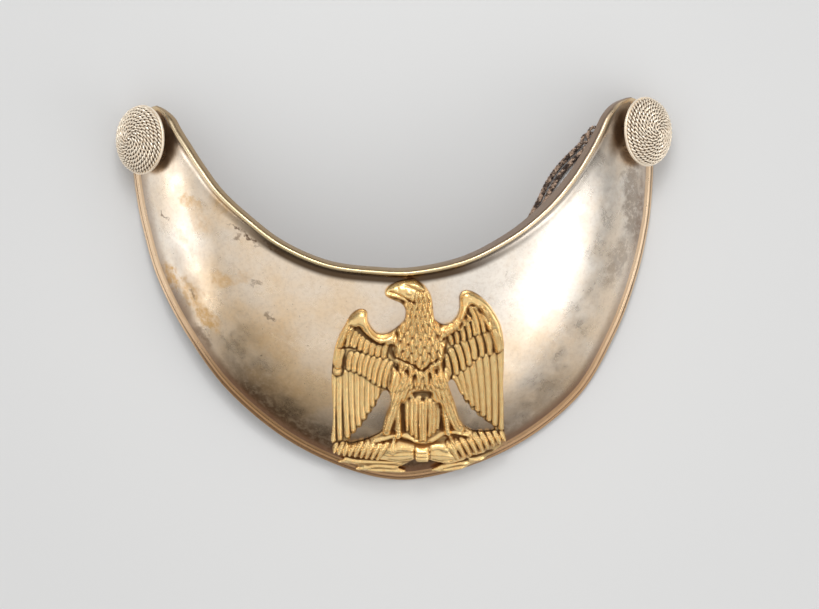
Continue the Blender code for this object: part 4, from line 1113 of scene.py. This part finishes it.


# colours of the plate, its stains, its painted shade and highlights, and its edges
tones = {
    "silver": (0.94, 0.86, 0.76), "wornThrough": (0.93, 0.67, 0.4),
    "brass": (0.7, 0.41, 0.14), "tarnishAndShade": (0.13, 0.068, 0.03), "dark": (0.2, 0.13, 0.085),
    "fine": (0.42, 0.29, 0.18), "specks": (0.16, 0.1, 0.06), "underside": (0.4, 0.29, 0.2),
    "hemLitTop": (0.86, 0.62, 0.39), "hemShadedBottom": (0.58, 0.35, 0.18),
    "hemShadedLowLeft": (0.34, 0.18, 0.07), "grooveShade": (0.2, 0.1, 0.05), "lip": (0.2, 0.1, 0.05),
    "coveShade": (0.085, 0.05, 0.025), "crestHighlightLeft": (0.86, 0.7, 0.46),
    "crestHighlightRight": (0.9, 0.69, 0.46), "crestMiddle": (0.52, 0.4, 0.19),
    "turnedShadeLeft": (0.4, 0.28, 0.16), "turnedShadeRight": (0.3, 0.215, 0.17),
}


def plateLook():
    look, shader = newLook("wornSilver", (0.85, 0.76, 0.64), 0.3, 1.0)
    tree = look.node_tree
    place = objectPlace(tree)
    axes = addNode(tree, "ShaderNodeSeparateXYZ", Vector=place)
    toRight, toTop = axes.outputs["X"], axes.outputs["Y"]
    group = spotGroup()
    ragged, gentle = inPlan(tree, place, 380, 0.006), inPlan(tree, place, 160, 0.003)
    # silver wears through to the warm metal mostly at the left and along the bottom
    toLeft = ramp(tree, toRight, 0.035, -0.04, 0.0, 0.42)
    toBottom = ramp(tree, toTop, 0.012, -0.03, 0.0, 0.42)
    atHorn = ramp(tree, toRight, -0.045, -0.062, 0.0, 0.3)
    toLeft = maths(tree, "SUBTRACT", toLeft, atHorn)
    cloud = grain(tree, place, 55, 5, 0.6, 0.32, 0.72, -0.16, 0.34)
    warm = maths(tree, "ADD", maths(tree, "ADD", toLeft, toBottom), cloud, clamp=True)
    color = mixColor(tree, warm, tones["silver"], tones["wornThrough"])
    patchy = grain(tree, place, 620, 5, 0.7, 0.3, 0.62, 0.25)
    brass = product(tree, spotsMask(tree, group, ragged, stainsAndShade["brass"]), patchy)
    color = mixColor(tree, brass, color, tones["brass"])
    # darker along the bottom and round the feet of the fittings: partly tarnish, partly painted
    # shade, for the buttons' shadow and reflection and the dark reflection along the bottom
    fromEdge, fromNeck = readAttribute(tree, "fromEdge"), readAttribute(tree, "fromNeck")
    low = product(tree, ramp(tree, fromEdge, 0.019, 0.004), ramp(tree, toTop, -0.012, -0.03),
                  ramp(tree, toRight, 0.05, 0.01, 0.45, 1.0),
                  ramp(tree, patchy, 0.2, 1.0, 0.75, 1.0))
    tarnishAndShade = maths(tree, "MAXIMUM", low, spotsMask(tree, group, gentle, stainsAndShade["tarnishAndShade"]))
    color = mixColor(tree, tarnishAndShade, color, tones["tarnishAndShade"])
    fine = grain(tree, place, 900, 4, 0.7, 0.4, 0.75, most=0.22)
    color = mixColor(tree, fine, color, tones["fine"])
    specks = grain(tree, place, 1500, 2, 0.5, 0.7, 0.78, most=0.7)
    specks = product(tree, specks, ramp(tree, toRight, 0.02, -0.03))
    color = mixColor(tree, specks, color, tones["specks"])
    # dark marks, with painted dark reflection at the right side
    dark = product(tree, spotsMask(tree, group, ragged, stainsAndShade["dark"]),
                   ramp(tree, patchy, 0.25, 0.8, 0.4, 1.0))
    color = mixColor(tree, dark, color, tones["dark"])
    # copper hem, painted lighter at the top and in shade towards the bottom and lower left, with
    # painted shade in the hollow along it and on the lip inside it
    copperHemAndShade = mixColor(tree, ramp(tree, toTop, 0.01, -0.03), tones["hemLitTop"], tones["hemShadedBottom"])
    lowLeftShade = product(tree, ramp(tree, toTop, -0.008, -0.026),
                      ramp(tree, toRight, -0.004, -0.014), 0.5)
    copperHemAndShade = mixColor(tree, lowLeftShade, copperHemAndShade, tones["hemShadedLowLeft"])
    color = mixColor(tree, ramp(tree, fromEdge, 0.0033, 0.0028, 0.0, 0.85), color, copperHemAndShade)
    # painted shade in the hollow line along the hem
    grooveShade = product(tree, ramp(tree, fromEdge, 0.0006, 0.0009),
                     ramp(tree, fromEdge, 0.0013, 0.00105, 0.0, 0.85))
    color = mixColor(tree, grooveShade, color, tones["grooveShade"])
    # painted shade on the lip inside the hem, stronger towards the bottom
    lip = product(tree, ramp(tree, fromEdge, 0.0062, 0.0034), ramp(tree, fromEdge, 0.0028, 0.0031),
                  ramp(tree, toTop, 0.0, -0.032, 0.45, 0.85))
    color = mixColor(tree, lip, color, tones["lip"])
    # painted shade in the cove below the neck roll, worn brass with a painted highlight on its
    # crest, and painted shade where it turns down
    middle = product(tree, ramp(tree, toRight, -0.058, -0.03),
                     ramp(tree, toRight, 0.045, 0.015, 0.3, 1.0))
    coveShade = product(tree, ramp(tree, fromNeck, 0.0044, 0.003),
                   ramp(tree, fromNeck, 0.0009, 0.0013, 0.0, 0.97), middle)
    color = mixColor(tree, coveShade, color, tones["coveShade"])
    # painted highlight along the crest over worn brass, duller in the middle
    crestBrassAndHighlight = mixColor(tree, ramp(tree, toRight, -0.04, 0.03), tones["crestHighlightLeft"],
                    tones["crestHighlightRight"])
    crestBrassAndHighlight = mixColor(tree, product(tree, middle, 0.75), crestBrassAndHighlight, tones["crestMiddle"])
    color = mixColor(tree, ramp(tree, fromNeck, 0.0015, 0.001, 0.0, 0.9), color, crestBrassAndHighlight)
    # painted shade on the face that turns down
    turned = mixColor(tree, ramp(tree, toRight, 0.0, 0.03), tones["turnedShadeLeft"],
                      tones["turnedShadeRight"])
    color = mixColor(tree, ramp(tree, fromNeck, 0.0004, 0.00015, 0.0, 0.9), color, turned)
    under = readAttribute(tree, "underside")
    color = mixColor(tree, under, color, tones["underside"])
    tree.links.new(color, shader.inputs["Base Color"])
    rub = grain(tree, place, 160, 5, 0.6, 0.3, 0.7, 0.24, 0.38)
    rub = maths(tree, "ADD", rub, product(tree, brass, 0.12))
    rub = maths(tree, "ADD", rub, product(tree, under, 0.15))
    tree.links.new(rub, shader.inputs["Roughness"])
    waves, scratches = noise(tree, place, 42, 2, 0.5), noise(tree, place, 1300, 3, 0.6)
    addBump(tree, shader, maths(tree, "ADD", waves, product(tree, scratches, 0.012)), 0.00045)
    return look


def giltLook():
    look, shader = newLook("giltBrass", (0.93, 0.62, 0.24), 0.34, 1.0)
    tree = look.node_tree
    place = objectPlace(tree)
    worn = noise(tree, place, 700, 4, 0.65)
    # creases get painted shade and more roughness, and the lowest ground gets the darkest painted
    # shade
    hollow = maths(tree, "ADD", readAttribute(tree, "cavity"), product(tree, worn, 0.12))
    creaseShade = ramp(tree, hollow, 0.06, 0.4)
    tone = grain(tree, place, 700, 4, 0.65, 0.35, 0.75)
    color = mixColor(tree, tone, (1.0, 0.73, 0.34), (1.0, 0.62, 0.25))
    color = mixColor(tree, creaseShade, color, (0.24, 0.1, 0.028))
    # painted shade on the lowest ground, read from the relief height
    deepShade = ramp(tree, readAttribute(tree, "reliefHeight"), 0.62, 0.42, 0.0, 0.85)
    color = mixColor(tree, deepShade, color, (0.12, 0.055, 0.02))
    tree.links.new(color, shader.inputs["Base Color"])
    tree.links.new(ramp(tree, creaseShade, 0, 1, 0.22, 0.5), shader.inputs["Roughness"])
    # the barbs slant back from each feather's shaft
    along, across = readAttribute(tree, "barbAlong"), readAttribute(tree, "barbAcross")
    slant = maths(tree, "SUBTRACT", along, maths(tree, "ABSOLUTE", across))
    barbs = maths(tree, "SINE", product(tree, slant, 7.5))
    frost = product(tree, noise(tree, place, 2600, 3, 0.7), 0.9)
    addBump(tree, shader, maths(tree, "ADD", product(tree, barbs, 0.6), frost), 0.00008)
    return look


def ropeLook():
    look, shader = newLook("silverRope", (0.95, 0.86, 0.72), 0.42, 0.6)
    tree = look.node_tree
    # painted shade: dark in the gaps between strands and on the core, light where the rope stands
    # proud
    proud = ramp(tree, readAttribute(tree, "proud"), 0.00002, 0.0004)
    worn = grain(tree, objectPlace(tree), 500, 3, 0.6, 0.35, 0.7, most=0.35)
    bright = mixColor(tree, worn, (1.0, 0.89, 0.73), (0.96, 0.75, 0.54))
    color = mixColor(tree, proud, (0.13, 0.068, 0.026), bright)
    tree.links.new(color, shader.inputs["Base Color"])
    return look


def threadLook():
    look, shader = newLook("brownThread", (0.1, 0.06, 0.045), 0.7, 0.0)
    tree = look.node_tree
    place = objectPlace(tree)
    worn = grain(tree, place, 700, 4, 0.7, 0.42, 0.62)
    color = mixColor(tree, worn, (0.05, 0.028, 0.02), (0.62, 0.44, 0.32))
    tree.links.new(color, shader.inputs["Base Color"])
    shader.inputs["Sheen Weight"].default_value = 0.3
    shader.inputs["Sheen Roughness"].default_value = 0.4
    addBump(tree, shader, noise(tree, place, 2500, 3, 0.6), 0.0002)
    return look


def makeFloor():
    bpy.ops.mesh.primitive_plane_add(size=3, location=(0, 0, -0.0002))
    floor = bpy.context.object
    floor.name = "floor"
    look = newLook("palePaper", (0.665, 0.665, 0.661), 0.9, 0.0)[0]
    floor.data.materials.append(look)


# name, place, aim, size, power in watts
lights = (
    ("rightBox", (0.93, -0.34, 0.48), (0.03, 0, 0), (0.6, 0.42), 1.75),
    ("rightLow", (0.62, -0.8, 0.4), (0.03, 0, 0), (0.5, 0.3), 0.45),
    ("leftBox", (-1.05, -0.16, 0.11), (-0.06, 0.02, 0.08), (0.72, 0.26), 1.25),
    ("topBox", (-0.05, 0.85, 1.2), (0, 0, 0), (0.8, 0.6), 7.6),
)
# a weak lamp for the paper inside the neck, with its cone in degrees
neckLamp = {"place": (0.0, 0.45, 0.5), "aim": (0.004, 0.024, 0), "cone": 11.5, "power": 4.4,
            "softness": 0.08}
# how bright the studio is at the horizon and overhead, and the heights where it changes
studio = {"low": 0.16, "high": 0.82, "from": 0.2, "to": 0.56}


def addLamp(kind, name, place, aim, power, **values):
    bpy.ops.object.light_add(type=kind, location=place)
    lamp = bpy.context.object
    lamp.name = name
    lamp.data.energy = power
    for key, value in values.items():
        setattr(lamp.data, key, value)
    lamp.rotation_euler = (Vector(place) - Vector(aim)).to_track_quat("Z", "Y").to_euler()


def makeLights():
    for name, place, aim, size, power in lights:
        addLamp("AREA", name, place, aim, power, shape="RECTANGLE", size=size[0],
                size_y=size[1])
    addLamp("SPOT", "neckLamp", neckLamp["place"], neckLamp["aim"], neckLamp["power"],
            spot_size=math.radians(neckLamp["cone"]), spot_blend=1.0,
            shadow_soft_size=neckLamp["softness"])
    world = bpy.data.worlds.new("studio")
    bpy.context.scene.world = world
    world.use_nodes = True
    tree = world.node_tree
    coordinates = addNode(tree, "ShaderNodeTexCoord")
    axes = addNode(tree, "ShaderNodeSeparateXYZ", Vector=coordinates.outputs["Generated"])
    background = tree.nodes["Background"]
    background.inputs["Color"].default_value = (1, 1, 1, 1)
    light = ramp(tree, axes.outputs["Z"], studio["from"], studio["to"], studio["low"],
                 studio["high"])
    tree.links.new(light, background.inputs["Strength"])


bpy.context.scene.view_settings.view_transform = "Standard"
wornGrain = grainGroup()
makeCamera()
makeFloor()
makeLights()
makeCord(threadLook())
surface = plateSurface()
makePlate(plateLook())
rivetLook = newLook("darkRivet", (0.3, 0.24, 0.18), 0.45, 1.0)[0]
wireLook = ropeLook()
for side in ("left", "right"):
    makeButton(side, wireLook)
    makePost(side, rivetLook)
makeEagle(surface, giltLook())
deselectAll()
